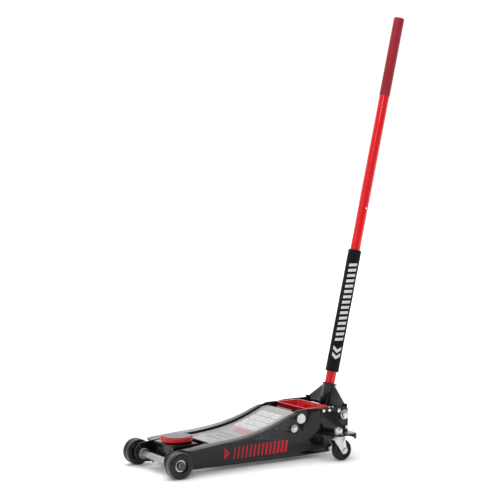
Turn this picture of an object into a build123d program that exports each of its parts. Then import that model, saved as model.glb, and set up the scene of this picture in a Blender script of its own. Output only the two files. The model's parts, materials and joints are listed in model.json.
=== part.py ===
"""A low trolley jack (hydraulic floor jack), in millimetres.

The origin is on the floor, on the centre plane, under the front axle.
-X is forward (the saddle end), +X is the handle end, +Z is up, -Y is the jack's left side.
"""

import os
from math import cos, radians, sin

from build123d import *

os.makedirs("parts", exist_ok=True)

# ---- driving dimensions -------------------------------------------------
running_gap = 0.05  # radial clearance of a shaft that turns in a hole
free_gap = 0.5  # clearance between faces that pass each other

# chassis
plate_t = 4.0
front_half = 89.0  # outer face of a side plate at the front
splay = 15.0  # how far the rear half of each plate is pressed outward
floor_gap = 12.0  # lower edge of the side plates above the floor
nose_r = 29.0
nose_x = 2.0
nose_rise = 4.5  # centre of the nose above the axle
sweep_x = 150.0  # where the top edge starts to rise
sweep_z = 85.0
shoulder_x = 438.0
deck_z = 152.0  # top edge of the rear half
rear_x = 612.0
low_rear_x = 575.0
flange_front = 42.0  # width of the top flange at its front end
flange_back = 8.5  # the flange starts this much closer to the axle than the tread's radius
flange_t = 3.5
hem = 9.0  # width of the inward fold along the lower edge
tie_r = 5.0

# front wheels
wheel_r = 38.5
wheel_w = 38.0
collar_w = 16.6
axle_r = 10.0
hub_r = 18.5
hub_deep = 10.0

# lift arm and its linkage
pivot_x = 449.0
pivot_z = 124.5
pivot_r = 15.5
arm_pin_x = 94.0
arm_pin_z = 57.0
arm_pin_r = 6.0
link_dx = -26.0  # the links' pivots lie this far from the arm's pivots
link_dz = -27.0
link_pin_r = 5.0
link_y = 60.0
link_w = 7.0
cheek_in = 40.0
cheek_t = 8.0
cover_half = 77.0
cover_t = 3.0
cover_x = 140.0
cover_end = 432.0
crank_r = 60.0
crank_lead = 35.0  # degrees behind straight down, with the arm lowered
crank_pin_r = 9.0
crank_slack = 1.2  # room fore and aft for the pin in the ram head's slot

# saddle and its bracket
bracket_x0 = 22.0
bracket_x1 = 108.0
bracket_half = 56.0
bracket_t = 6.0
bracket_top = 80.5
saddle_x = 64.5
saddle_r = 48.0
saddle_top = 98.8
cup_h = 15.0
cup_wall = 3.0
post_r = 14.0
rib_pitch = 8.0
rib_w = 4.6
rib_h = 3.0

# hydraulic unit
ram_r = 11.0
bore_r = 17.0
barrel_r = 22.0
tank_r = 30.0
gland_t = 6.0
tank_l = 35.0
block_t = 26.0
block_half = 42.0
cap_t = 5.0
piston_t = 9.0
plunger_r = 6.0
plunger_head_r = 9.0
plunger_gap = 0.8
pump_r = 10.0
valve_y = 31.0
valve_z = 80.0
spring_y = 28.0

# casters
shelf_x0 = 503.0
shelf_z = 80.0
shelf_t = 5.0
lip_h = 11.0
shelf_rim = 20.0  # shelf outboard of the kingpin
shelf_short = 13.0  # the shelves end this far before the plates
caster_x = 536.0
caster_out = 55.0  # kingpin outboard of the side plate
caster_r = 31.75
caster_w = 22.0
caster_trail = 12.0
ear_t = 3.0
kingpin_r = 6.0
axle_bolt_r = 4.0

# handle and its yoke
yoke_x = 598.0
yoke_pin_r = 8.0
lean = 13.1  # degrees back from upright
roller_dx = 13.0
roller_dz = -17.0
roller_r = 8.0
roller_half = 11.6
handle_r = 15.5
handle_wall = 1.8
socket_wall = 3.4
socket_gap = 0.4
socket_top = 83.0
ring_w = 7.5
handle_low = 36.0  # distances up the handle are measured from the yoke pivot
joint_at = 666.0
handle_end = 1252.0
foam_low = 120.0
foam_high = 506.0
foam_t = 5.3
grip_low = 1001.0
grip_t = 0.8
button_at = 640.0
button_r = 3.5

# tool tray
tray_x0 = 470.0
tray_x1 = 558.0
tray_half = 78.0
tray_clear = 4.0  # tray floor above the pump
tray_wall = 2.0
tray_rim = 7.0
tray_lip = 2.0  # thickness of the rim

# ---- places that follow from these --------------------------------------
rear_half = front_half + splay  # outer face of a side plate at the rear
side_in = front_half - plate_t
rear_in = rear_half - plate_t
nose_z = wheel_r + nose_rise
nose_top = nose_z + nose_r
flange_x = wheel_r - flange_back
above = deck_z + 20  # beyond the plates, for cutting sketches
beyond = rear_x + 90
wheel_in = front_half + collar_w + free_gap
wheel_out = wheel_in + wheel_w
link_low = (arm_pin_x + link_dx, arm_pin_z + link_dz)
link_high = (pivot_x + link_dx, pivot_z + link_dz)
crank_x = pivot_x + crank_r * sin(radians(crank_lead))
crank_z = pivot_z - crank_r * cos(radians(crank_lead))
ram_z = (crank_z + pivot_z - crank_r) / 2
stroke = 2 * crank_r * sin(radians(crank_lead))
head_x0 = crank_x - crank_pin_r - crank_slack - 9
head_x1 = crank_x + crank_pin_r + crank_slack + 7
tank_x = head_x1 + 4.4
block_x = tank_x + tank_l
block_end = block_x + block_t
piston_x = tank_x + gland_t + 1 + stroke
barrel_end = piston_x + piston_t + free_gap + cap_t
cradle_z = ram_z - tank_r - 2.0
spring_z = cradle_z - 3.4
roller_x = yoke_x + roller_dx
roller_z = ram_z + tank_r + pump_r + 0.1
yoke_z = roller_z - roller_dz
tray_low = roller_z + pump_r + tray_clear
plunger_face = roller_x - roller_r - plunger_gap
caster_y = rear_half + caster_out
shelf_half = caster_y + shelf_rim
ear_out = caster_w / 2 + 2 + ear_t
hub_x = caster_x + caster_trail
foam_r = handle_r + foam_t
ring_r = handle_r + ring_w
screw_r = 2.5
screw_spots = [(tray_x0 + 51, deck_z - 8), (tray_x1 - 16, deck_z - 8)]
low_tie = (low_rear_x - 22, floor_gap + 13)
high_tie = (yoke_x - 23, yoke_z + 14)
rear_tie = (rear_x - 7, shelf_z + 8)
up = (sin(radians(lean)), 0, cos(radians(lean)))
back = (cos(radians(lean)), 0, -sin(radians(lean)))


def finish(part, name):
    """Label a finished piece and write it."""
    part.label = name
    export_step(part, f"parts/{name}.step")


def across(y):
    """A sketch plane at y that faces the left side: its x runs along X and its y along Z."""
    return Plane(origin=(0, y, 0), x_dir=(1, 0, 0), z_dir=(0, -1, 0))


def along(x):
    """A sketch plane at x that faces the rear: its x runs along Y and its y along Z."""
    return Plane(origin=(x, 0, 0), x_dir=(0, 1, 0), z_dir=(1, 0, 0))


def up_handle(distance):
    """A sketch plane square to the handle, this far from the yoke pivot: its x runs along Y."""
    spot = (yoke_x + up[0] * distance, 0, yoke_z + up[2] * distance)
    return Plane(origin=spot, x_dir=(0, 1, 0), z_dir=up)


def beside_yoke(y):
    """A sketch plane at y, centred on the yoke pivot: its x points back and its y up the handle."""
    return Plane(origin=(yoke_x, y, yoke_z), x_dir=back, z_dir=(0, -1, 0))


def bar(x, z, y0, y1, radius, hole=0.0, softened=0.0):
    """A round bar or tube along Y, from y0 to y1."""
    with BuildPart() as piece:
        with BuildSketch(across(max(y0, y1))):
            with Locations((x, z)):
                Circle(radius)
                if hole:
                    Circle(hole, mode=Mode.SUBTRACT)
        extrude(amount=abs(y1 - y0))
        if softened:
            rims = piece.edges().filter_by(GeomType.CIRCLE).group_by(SortBy.RADIUS)[-1]
            chamfer(rims, softened)
    return piece.part


def hexagon(plane, flats, height, hole=0.0):
    """A hexagonal bolt head or nut on a plane, with rounded corners."""
    with BuildPart() as piece:
        with BuildSketch(plane):
            RegularPolygon(flats / 2, 6, major_radius=False)
            if hole:
                Circle(hole, mode=Mode.SUBTRACT)
        extrude(amount=height)
        with BuildSketch(plane):
            Circle(flats * 0.56)
        extrude(amount=height, mode=Mode.INTERSECT)
    return piece.part


def side_face(x, z, y, left):
    """A sketch plane on a side plate's outer face, facing away from the jack."""
    sign = -1 if left else 1
    return Plane(origin=(x, sign * y, z), x_dir=(1, 0, 0), z_dir=(0, sign, 0))


def both_sides(part):
    """A left piece and its mirror image, as separate solids."""
    return [part, mirror(part, about=Plane.XZ)]


def group(parts):
    """Separate solids that share one node."""
    return Compound(children=[solid for part in parts for solid in part.solids()])


# ---- side plates --------------------------------------------------------
def top_edge(drop=0.0):
    """The swept top line, lowered by drop: nearly level, then rising to the shoulder."""
    run = shoulder_x - sweep_x
    rise = deck_z - sweep_z
    return Spline(
        (sweep_x, sweep_z - drop),
        (sweep_x + 0.53 * run, sweep_z + 0.30 * rise - drop),
        (sweep_x + 0.78 * run, sweep_z + 0.64 * rise - drop),
        (shoulder_x, deck_z - drop),
        tangents=((1, 0.05), (1, 0.30)),
    )


def side_plate():
    """The left side plate: flat in front, pressed outward behind, with a flange along its top."""
    behind = (beyond, above)
    # each outline runs from the top, down its front edge, and back along its lower edge
    swell = [(476, above), (442, 42), (506, shelf_z - 16), (beyond, shelf_z - 16), behind]
    swell_face = [(514, above), (506, shelf_z + 6), (512, shelf_z - 5), (beyond, shelf_z - 5), behind]
    hollow = [(480, above), (450, 55), (508, shelf_z - 11), (beyond, shelf_z - 11), behind]
    hollow_face = [(518, above), (511, shelf_z + 7), (515, shelf_z), (beyond, shelf_z), behind]

    with BuildPart() as flange:
        with BuildSketch(across(-side_in)):
            with BuildLine():
                Polyline((sweep_x, sweep_z), (flange_x, nose_top + 3))
                Line((flange_x, nose_top + 3), (flange_x, nose_top + 3 - flange_t))
                Line((flange_x, nose_top + 3 - flange_t), (sweep_x, sweep_z - flange_t))
                under = top_edge(flange_t)
                Line(under @ 1, (under @ 1) + (0, flange_t))
                top_edge()
            make_face()
        extrude(amount=flange_front + plate_t)
        with BuildSketch(Plane.XY):
            with BuildLine():
                FilletPolyline(
                    (flange_x, -side_in),
                    (flange_x, -front_half - flange_front),
                    (shoulder_x - 26, -front_half - 14),
                    (shoulder_x - 12, -front_half + 1),
                    (shoulder_x - 12, -side_in),
                    radius=[20, 12, 4],
                )
                Line((shoulder_x - 12, -side_in), (flange_x, -side_in))
            make_face()
        extrude(amount=above, mode=Mode.INTERSECT)

    with BuildPart() as plate:
        with BuildSketch(across(-side_in)):
            with BuildLine():
                Line((nose_x, nose_top), (flange_x, nose_top + 3))
                Line((flange_x, nose_top + 3), (sweep_x, sweep_z))
                top = top_edge()
                Polyline(
                    top @ 1,
                    (beyond, deck_z),
                    (beyond, shelf_z - 16),
                    (low_rear_x + 8, shelf_z - 16),
                    (low_rear_x, floor_gap + 12),
                    (low_rear_x - 22, floor_gap + 2),
                    (shoulder_x + 6, floor_gap),
                    (nose_x + 20, floor_gap),
                    (nose_x, nose_z - nose_r),
                )
                RadiusArc((nose_x, nose_z - nose_r), (nose_x, nose_top), nose_r)
            make_face()
        extrude(amount=plate_t)
        with BuildSketch(across(-side_in)):
            Polygon(*swell, align=None)
        with BuildSketch(across(-rear_half)):
            Polygon(*swell_face, align=None)
        loft(ruled=True)
        with BuildSketch(across(-side_in)):
            Polygon(*hollow, align=None)
        with BuildSketch(across(-rear_in)):
            Polygon(*hollow_face, align=None)
        loft(ruled=True, mode=Mode.SUBTRACT)
        with BuildSketch(across(0)):
            with BuildLine():
                FilletPolyline((rear_x, 0), (rear_x, deck_z), (0, deck_z), radius=14)
                Polyline((0, deck_z), (-above, deck_z), (-above, 0), (rear_x, 0))
            make_face()
        extrude(amount=2 * rear_half, mode=Mode.INTERSECT)
        add(flange.part)
        with BuildSketch(Plane.XY.offset(floor_gap)):
            with Locations(((nose_x + 40 + shoulder_x) / 2, -side_in + hem / 2)):
                SlotOverall(shoulder_x - nose_x - 46, 2 * hem)
        extrude(amount=3)
        with BuildSketch(across(-side_in)):
            with Locations((0, wheel_r)):
                Circle(axle_r)
            with Locations((pivot_x, pivot_z)):
                Circle(pivot_r)
            with Locations(link_high):
                Circle(link_pin_r)
            with Locations((yoke_x, yoke_z)):
                Circle(yoke_pin_r)
            with Locations(low_tie, high_tie, rear_tie):
                Circle(tie_r)
            with Locations(*screw_spots):
                Circle(screw_r)
        extrude(amount=60, mode=Mode.SUBTRACT)
    return plate.part


left_plate = side_plate()
finish(left_plate, "side_plate_left")
finish(mirror(left_plate, about=Plane.XZ), "side_plate_right")

# ---- ties, bolts and screws of the chassis ------------------------------
ties = [bar(*low_tie, -front_half, front_half, tie_r)]
ties += [bar(*spot, -rear_half, rear_half, tie_r) for spot in (high_tie, rear_tie)]
finish(group(ties), "tie_rods")

tie_nuts = []
screws = []
for left in (True, False):
    tie_nuts.append(hexagon(side_face(*low_tie, front_half, left), 14, 6))
    tie_nuts.append(hexagon(side_face(*high_tie, rear_half, left), 12, 5))
    tie_nuts.append(hexagon(side_face(*rear_tie, rear_half, left), 12, 5))
    for x, z in screw_spots:
        plane = side_face(x, z, rear_half, left)
        with BuildPart() as screw:
            with BuildSketch(plane):
                Circle(screw_r)
            extrude(amount=-plate_t - 3)
            with BuildSketch(plane):
                Circle(screw_r * 2)
            extrude(amount=2.4)
            fillet(screw.faces().sort_by(Axis.Y)[0 if left else -1].edges(), 1.2)
        screws.append(screw.part)

# an angle under each side of the tray's rim takes the screws
angle_x0 = screw_spots[0][0] - 3.5
angle_l = screw_spots[1][0] + 8 - angle_x0
with BuildPart() as angle:
    with BuildSketch(Plane.XY.offset(deck_z - tray_lip)):
        with Locations((angle_x0, -rear_in)):
            Rectangle(angle_l, rear_in - tray_half - 1, align=(Align.MIN, Align.MIN))
    extrude(amount=-2)
    with BuildSketch(Plane.XY.offset(deck_z - tray_lip)):
        with Locations((angle_x0, -rear_in)):
            Rectangle(angle_l, 3, align=(Align.MIN, Align.MIN))
    extrude(amount=-12)
    with BuildSketch(across(-side_in)):
        with Locations(*screw_spots):
            Circle(screw_r)
    extrude(amount=2 * splay, mode=Mode.SUBTRACT)
finish(group(screws + both_sides(angle.part)), "tray_screws")

# ---- front axle and wheels ----------------------------------------------
nut_w = 6.5
washer_t = 2.0
hub_floor = wheel_out - hub_deep
axle_end = hub_floor + free_gap + washer_t + nut_w + 1.0
finish(bar(0, wheel_r, -axle_end, axle_end, axle_r, softened=1.0), "front_axle")

collars = [bar(0, wheel_r, -front_half - collar_w, -front_half, axle_r + 5, axle_r)]
collars.append(bar(0, wheel_r, -side_in, -side_in + 9, axle_r + 6, axle_r, 1.0))
finish(group([part for collar in collars for part in both_sides(collar)]), "axle_collars")

washer_y = hub_floor + free_gap
washer = bar(0, wheel_r, -washer_y - washer_t, -washer_y, axle_r + 7, axle_r, 0.5)
finish(group(both_sides(washer)), "axle_washers")
axle_nuts = [
    hexagon(side_face(0, wheel_r, washer_y + washer_t, left), 24, nut_w, axle_r)
    for left in (True, False)
]
finish(group(axle_nuts), "axle_nuts")

with BuildPart() as front_wheel:
    with BuildSketch(Plane.YZ):
        with BuildLine():
            bore = axle_r + running_gap
            tread = [
                (-wheel_in, wheel_r + bore),
                (-wheel_in, 2 * wheel_r - 7),
                (-wheel_in - 1.6, 2 * wheel_r - 2.6),
                (-wheel_in - 5.5, 2 * wheel_r),
                (-wheel_out + 6, 2 * wheel_r),
                (-wheel_out, 2 * wheel_r - 7),
                (-wheel_out, wheel_r + hub_r + 2),
                (-wheel_out + 2, wheel_r + hub_r),
                (-hub_floor, wheel_r + hub_r - 1),
                (-hub_floor, wheel_r + bore),
            ]
            Polyline(*tread, close=True)
        make_face()
    revolve(axis=Axis((0, 0, wheel_r), (0, 1, 0)))
finish(front_wheel.part, "front_wheel_left")
finish(mirror(front_wheel.part, about=Plane.XZ), "front_wheel_right")

# ---- casters ------------------------------------------------------------
def caster_shelf():
    """The left shelf that carries a caster, with a lip turned down at its rear corner."""
    shelf_x1 = rear_x - shelf_short
    with BuildSketch(Plane.XY.offset(shelf_z - shelf_t)) as outline:
        with BuildLine():
            Line((shelf_x1, -rear_half), (shelf_x0, -rear_half))
            FilletPolyline(
                (shelf_x0, -rear_half),
                (shelf_x0, -rear_half - 26),
                (caster_x - 14, -shelf_half),
                (shelf_x1, -shelf_half),
                (shelf_x1, -rear_half),
                radius=[24, 14, 18],
            )
        make_face()
    with BuildPart() as shelf:
        with BuildSketch(Plane.XY.offset(shelf_z - shelf_t)):
            add(outline.sketch)
            with Locations((caster_x, -caster_y)):
                Circle(kingpin_r, mode=Mode.SUBTRACT)
        extrude(amount=shelf_t)
        with BuildSketch(Plane.XY.offset(shelf_z - shelf_t)):
            add(outline.sketch)
            offset(amount=-3, mode=Mode.SUBTRACT)
            with Locations((caster_x + 46, -shelf_half)):
                Rectangle(100, shelf_half - rear_half - 12, align=(Align.MIN, Align.MIN), mode=Mode.INTERSECT)
        extrude(amount=-lip_h)
    return shelf.part


def caster_fork():
    """A pressed fork: a top plate with a bore for the kingpin, and two ears that trail back."""
    plate_low = shelf_z - shelf_t - 8
    with BuildPart() as fork:
        with BuildSketch(Plane.XY.offset(plate_low)):
            with Locations((caster_x - 5, -caster_y)):
                RectangleRounded(48, 2 * ear_out, 6)
            with Locations((caster_x, -caster_y)):
                Circle(kingpin_r + running_gap, mode=Mode.SUBTRACT)
        extrude(amount=ear_t)
        for outer in (-caster_y - ear_out, -caster_y + ear_out - ear_t):
            with BuildSketch(across(outer + ear_t)):
                with BuildLine():
                    Polyline(
                        (caster_x - 25, plate_low + ear_t - 1),
                        (caster_x - 22, plate_low - 5),
                        (hub_x - 10, caster_r - 4),
                        (hub_x + 9, caster_r - 5),
                        (caster_x + 15, plate_low + ear_t - 1),
                        close=True,
                    )
                make_face()
                with Locations((hub_x, caster_r)):
                    Circle(11)
                    Circle(axle_bolt_r, mode=Mode.SUBTRACT)
            extrude(amount=ear_t)
    return fork.part


with BuildPart() as caster_wheel:
    with BuildSketch(Plane(origin=(hub_x, -caster_y, 0), x_dir=(0, 1, 0), z_dir=(1, 0, 0))):
        with BuildLine():
            half = caster_w / 2
            FilletPolyline(
                (half - 1, caster_r + 7),
                (half - 3, 2 * caster_r - 8),
                (half, 2 * caster_r - 7),
                (half, 2 * caster_r),
                (-half, 2 * caster_r),
                (-half, 2 * caster_r - 7),
                (3 - half, 2 * caster_r - 8),
                (1 - half, caster_r + 7),
                radius=[0.5, 1, 5, 5, 1, 0.5],
            )
            Polyline(
                (1 - half, caster_r + 7),
                (0.6 - half, caster_r + axle_bolt_r + running_gap),
                (half - 0.6, caster_r + axle_bolt_r + running_gap),
                (half - 1, caster_r + 7),
            )
        make_face()
    revolve(axis=Axis((hub_x, -caster_y, caster_r), (0, 1, 0)))

bolt = bar(hub_x, caster_r, -caster_y - ear_out, -caster_y + ear_out, axle_bolt_r)
bolt_head = hexagon(side_face(hub_x, caster_r, caster_y + ear_out, True), 13, 4)
bolt_nut = hexagon(side_face(hub_x, caster_r, -caster_y + ear_out, False), 13, 5)

with BuildPart() as race:
    for low, high, radius in ((5.0, 2.6, 19.0), (2.4, 0.0, 17.0)):
        with BuildSketch(Plane.XY.offset(shelf_z - shelf_t - low)):
            with Locations((caster_x, -caster_y)):
                Circle(radius)
                Circle(kingpin_r + running_gap, mode=Mode.SUBTRACT)
        extrude(amount=low - high)
upper_race = race.part.solids().sort_by(Axis.Z)[-1]
lower_race = race.part.solids().sort_by(Axis.Z)[0]

with BuildPart() as kingpin:
    with BuildSketch(Plane.XY.offset(shelf_z - shelf_t - 8)):
        with Locations((caster_x, -caster_y)):
            Circle(kingpin_r)
    extrude(amount=shelf_t + 8 + 21)
    with BuildSketch(Plane.XY.offset(shelf_z - shelf_t - 10)):
        with Locations((caster_x, -caster_y)):
            Circle(kingpin_r + 3)
    extrude(amount=1.6)
    with BuildSketch(Plane.XY.offset(shelf_z - shelf_t - 8.4)):
        with Locations((caster_x, -caster_y)):
            Circle(kingpin_r)
    extrude(amount=0.4)

stem_plane = Plane(origin=(caster_x, -caster_y, shelf_z))
nut_top = Plane(origin=(caster_x, -caster_y, shelf_z + 2))
with BuildPart() as stem_washer:
    with BuildSketch(stem_plane):
        Circle(14)
        Circle(kingpin_r, mode=Mode.SUBTRACT)
    extrude(amount=2)
stem_nut = hexagon(nut_top, 24, 16, kingpin_r)

finish(group(both_sides(caster_shelf())), "caster_shelves")
finish(group(both_sides(upper_race)), "upper_races")
finish(group(both_sides(kingpin.part)), "kingpins")
finish(group(both_sides(stem_washer.part) + both_sides(stem_nut)), "kingpin_nuts")
left_caster = {
    "caster_fork": group([caster_fork()]),
    "caster_wheel": caster_wheel.part,
    "caster_bolt": group([bolt, bolt_head, bolt_nut]),
    "lower_race": lower_race,
}
for piece_name, piece in left_caster.items():
    finish(piece, f"{piece_name}_left")
    finish(mirror(piece, about=Plane.XZ), f"{piece_name}_right")

# ---- lift arm -----------------------------------------------------------
arm_lobe = 12.0
crank_lobe = 16.0
sleeve_r = pivot_r + 4.0
finish(bar(pivot_x, pivot_z, -front_half - 2, front_half + 2, pivot_r, softened=1.0), "lift_pivot_shaft")

with BuildPart() as cheek:
    with BuildSketch(across(-cheek_in)):
        with BuildLine():
            brow = (cover_x, sweep_z - 6 - cover_t)
            Line((arm_pin_x, arm_pin_z + arm_lobe), (bracket_x1 + 6, arm_pin_z + arm_lobe + 0.5))
            Line((bracket_x1 + 6, arm_pin_z + arm_lobe + 0.5), brow)
            Line(brow, (sweep_x, sweep_z - 5 - cover_t))
            spine = top_edge(5 + cover_t)
            Polyline(
                spine @ 1,
                (pivot_x + 12, pivot_z + sleeve_r - 5),
                (pivot_x + sleeve_r - 1, pivot_z),
                (crank_x + crank_lobe - 1, crank_z + 4),
                (crank_x, crank_z - crank_lobe),
                (crank_x - 14, crank_z - 9),
                (pivot_x - 28, pivot_z - 33),
                (pivot_x - 120, pivot_z - 46),
                (arm_pin_x + 60, arm_pin_z - 10),
                (arm_pin_x, arm_pin_z - arm_lobe),
            )
            RadiusArc(
                (arm_pin_x, arm_pin_z - arm_lobe),
                (arm_pin_x, arm_pin_z + arm_lobe),
                arm_lobe,
            )
        make_face()
        with Locations((crank_x, crank_z)):
            Circle(crank_lobe)
            Circle(crank_pin_r, mode=Mode.SUBTRACT)
        with Locations((arm_pin_x, arm_pin_z)):
            Circle(arm_pin_r, mode=Mode.SUBTRACT)
        with Locations((pivot_x, pivot_z)):
            Circle(pivot_r + running_gap, mode=Mode.SUBTRACT)
    extrude(amount=cheek_t)
finish(group(both_sides(cheek.part)), "arm_cheeks")

sleeve = bar(pivot_x, pivot_z, -cheek_in, cheek_in, sleeve_r, pivot_r + running_gap)
finish(sleeve, "arm_sleeve")
arm_tie_x = sweep_x + 70
arm_tubes = [
    bar(arm_tie_x, arm_pin_z + 11, -cheek_in, cheek_in, 9, 6),
    bar(arm_tie_x + 130, arm_pin_z + 22, -cheek_in, cheek_in, 9, 6),
]
finish(group(arm_tubes), "arm_tubes")
crank_half = cheek_in + cheek_t + 2
finish(bar(crank_x, crank_z, -crank_half, crank_half, crank_pin_r, softened=0.8), "crank_pin")
pin_half = bracket_half + 2
finish(bar(arm_pin_x, arm_pin_z, -pin_half, pin_half, arm_pin_r, softened=0.8), "arm_pin")

with BuildPart() as cover:
    with BuildSketch(across(-100)):
        with BuildLine():
            top_front = Vector(cover_x, sweep_z - 6)
            low_front = top_front - (0, cover_t)
            Line(top_front, (sweep_x, sweep_z - 5))
            top = top_edge(5)
            Line(top @ 1, (top @ 1) - (0, cover_t))
            top_edge(5 + cover_t)
            Polyline((sweep_x, sweep_z - 5 - cover_t), low_front, top_front)
        make_face()
    extrude(amount=-200)
    with BuildSketch(Plane.XY):
        with BuildLine():
            rear_wide = cover_half + 6
            FilletPolyline(
                (cover_x, 0),
                (cover_x, -cover_half),
                (cover_end - 120, -cover_half),
                (cover_end, -rear_wide),
                (cover_end, 0),
                radius=[6, 20, 16],
            )
            Line((cover_end, 0), (cover_x, 0))
        make_face()
        mirror(about=Plane.XZ)
    extrude(amount=200, mode=Mode.INTERSECT)
finish(cover.part, "arm_cover")

# ---- saddle bracket and parallel links ----------------------------------
link_eye = 9.0
bracket_in = bracket_half - bracket_t
with BuildPart() as bracket:
    with BuildSketch(across(bracket_half)):
        with BuildLine():
            FilletPolyline(
                (bracket_x0, bracket_top),
                (bracket_x1, bracket_top),
                (bracket_x1, arm_pin_z - 10),
                (link_low[0] + 12, link_low[1] - 9),
                (link_low[0] - 12, link_low[1] - 9),
                (bracket_x0, 36),
                radius=5,
                close=True,
            )
        make_face()
    extrude(amount=2 * bracket_half)
    with BuildSketch(across(bracket_in)):
        with Locations((bracket_x0 + bracket_t, bracket_top - bracket_t)):
            Rectangle(200, 200, align=(Align.MIN, Align.MAX))
    extrude(amount=2 * bracket_in, mode=Mode.SUBTRACT)
    with BuildSketch(across(bracket_half)):
        with Locations(link_low):
            Circle(link_pin_r)
        with Locations((arm_pin_x, arm_pin_z)):
            Circle(arm_pin_r + running_gap)
    extrude(amount=2 * bracket_half, mode=Mode.SUBTRACT)
    with BuildSketch(Plane.XY.offset(bracket_top - bracket_t)):
        with Locations((saddle_x, 0)):
            Circle(post_r + running_gap)
    extrude(amount=bracket_t, mode=Mode.SUBTRACT)
    with BuildSketch(Plane.YZ.offset(bracket_x0)):
        with Locations((-bracket_half + 13, bracket_top - 21)):
            SlotOverall(14, 4, rotation=90)
    extrude(amount=bracket_t, mode=Mode.SUBTRACT)
finish(bracket.part, "saddle_bracket")

link_pin = bar(*link_low, -link_y - link_w - 5, -bracket_in, link_pin_r)
link_head = bar(*link_low, -link_y - link_w - 5, -link_y - link_w - 1, link_pin_r + 4, link_pin_r)
finish(group(both_sides(link_pin) + both_sides(link_head)), "link_pins")


def radius_rod():
    """A flat link with an eye at each end; the front eye has room round its pin."""
    slant = Vector(link_high[0] - link_low[0], 0, link_high[1] - link_low[1])
    lie = Plane(origin=(link_low[0], -link_y, link_low[1]), x_dir=slant, z_dir=(0, -1, 0))
    with BuildPart() as rod:
        with BuildSketch(lie):
            with Locations((slant.length / 2, 0)):
                Rectangle(slant.length, 12)
            with Locations((0, 0), (slant.length, 0)):
                Circle(link_eye + 2)
            with Locations((0, 0)):
                Circle(link_pin_r + 0.8, mode=Mode.SUBTRACT)
            with Locations((slant.length, 0)):
                Circle(link_pin_r + running_gap, mode=Mode.SUBTRACT)
        extrude(amount=link_w)
    return rod.part


finish(group(both_sides(radius_rod())), "radius_rods")

base_bolts = []
for left in (True, False):
    sign = -1 if left else 1
    shank = bar(*link_high, sign * front_half, sign * (link_y - 3), link_pin_r)
    head = hexagon(side_face(*link_high, front_half + 2, left), 16, 6)
    ring = bar(*link_high, sign * front_half, sign * (front_half + 2), 12)
    stop = bar(*link_high, sign * (link_y - 6), sign * (link_y - 1), link_pin_r + 4, link_pin_r)
    base_bolts += [shank, head, ring, stop]
finish(group(base_bolts), "link_bolts")

# ---- saddle -------------------------------------------------------------
cup_low = saddle_top - cup_h
with BuildPart() as saddle:
    with BuildSketch(Plane(origin=(saddle_x, 0, 0), x_dir=(1, 0, 0), z_dir=(0, -1, 0))):
        with BuildLine():
            Polyline(
                (0, bracket_top - bracket_t - 9),
                (post_r, bracket_top - bracket_t - 9),
                (post_r, bracket_top + free_gap),
                (post_r + 12, bracket_top + free_gap),
                (post_r + 14, cup_low),
                (saddle_r - 5, cup_low),
                (saddle_r, cup_low + 5),
                (saddle_r, saddle_top - 1.5),
                (saddle_r - cup_wall, saddle_top - 1.5),
                (saddle_r - cup_wall, cup_low + 5),
                (0, cup_low + 5),
                close=True,
            )
        make_face()
    revolve(axis=Axis((saddle_x, 0, 0), (0, 0, 1)))
finish(saddle.part, "saddle_cup")

pad_r = saddle_r - cup_wall
rib_rows = int(pad_r / rib_pitch)
with BuildPart() as pad:
    with BuildSketch(Plane.XY.offset(cup_low + 5)):
        with Locations((saddle_x, 0)):
            Circle(pad_r)
    extrude(amount=cup_h - 5 - rib_h)
    with BuildSketch(Plane.XY.offset(saddle_top - rib_h)):
        for row in range(-rib_rows, rib_rows + 1):
            with Locations(Location((saddle_x, 0, 0), (0, 0, 45))):
                with Locations((0, row * rib_pitch)):
                    Rectangle(2 * saddle_r, rib_w)
        with Locations((saddle_x, 0)):
            Circle(pad_r, mode=Mode.INTERSECT)
    extrude(amount=rib_h)
finish(pad.part, "saddle_pad")

clip_z = bracket_top - bracket_t - 6
with BuildPart() as clip:
    with BuildSketch(Plane.XY.offset(clip_z)):
        with Locations((saddle_x, 0)):
            Circle(post_r + 5)
            Circle(post_r, mode=Mode.SUBTRACT)
    extrude(amount=2.5)
finish(clip.part, "saddle_clip")

# ---- hydraulic unit -----------------------------------------------------
head_half = cheek_in - 6
drop = (crank_z - (pivot_z - crank_r)) / 2 + 0.6
with BuildPart() as ram_head:
    with BuildSketch(across(head_half)):
        with Locations(((head_x0 + head_x1) / 2, ram_z)):
            Rectangle(head_x1 - head_x0, 2 * (drop + crank_pin_r + 6))
        with Locations((crank_x, ram_z)):
            Rectangle(2 * (crank_pin_r + crank_slack), 2 * (drop + crank_pin_r), mode=Mode.SUBTRACT)
    extrude(amount=2 * head_half)
    chamfer(ram_head.edges().filter_by(Axis.Y).group_by(Axis.X)[0], 4)
    with BuildSketch(across(spring_y + 4), across(-spring_y + 4)):
        with Locations((head_x1 - 4, spring_z + 5)):
            Rectangle(8, 24)
    extrude(amount=8)
finish(ram_head.part, "ram_head")

with BuildPart() as ram:
    with BuildSketch(along(head_x1)):
        with Locations((0, ram_z)):
            Circle(ram_r)
    extrude(amount=piston_x - head_x1)
    with BuildSketch(along(piston_x)):
        with Locations((0, ram_z)):
            Circle(bore_r - running_gap)
    extrude(amount=piston_t)
finish(ram.part, "ram")


def round_part(x0, x1, y, z, radius, hole=0.0):
    """A round piece along X, from x0 to x1."""
    with BuildPart() as piece:
        with BuildSketch(along(x0)):
            with Locations((y, z)):
                Circle(radius)
                if hole:
                    Circle(hole, mode=Mode.SUBTRACT)
        extrude(amount=x1 - x0)
    return piece.part


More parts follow.
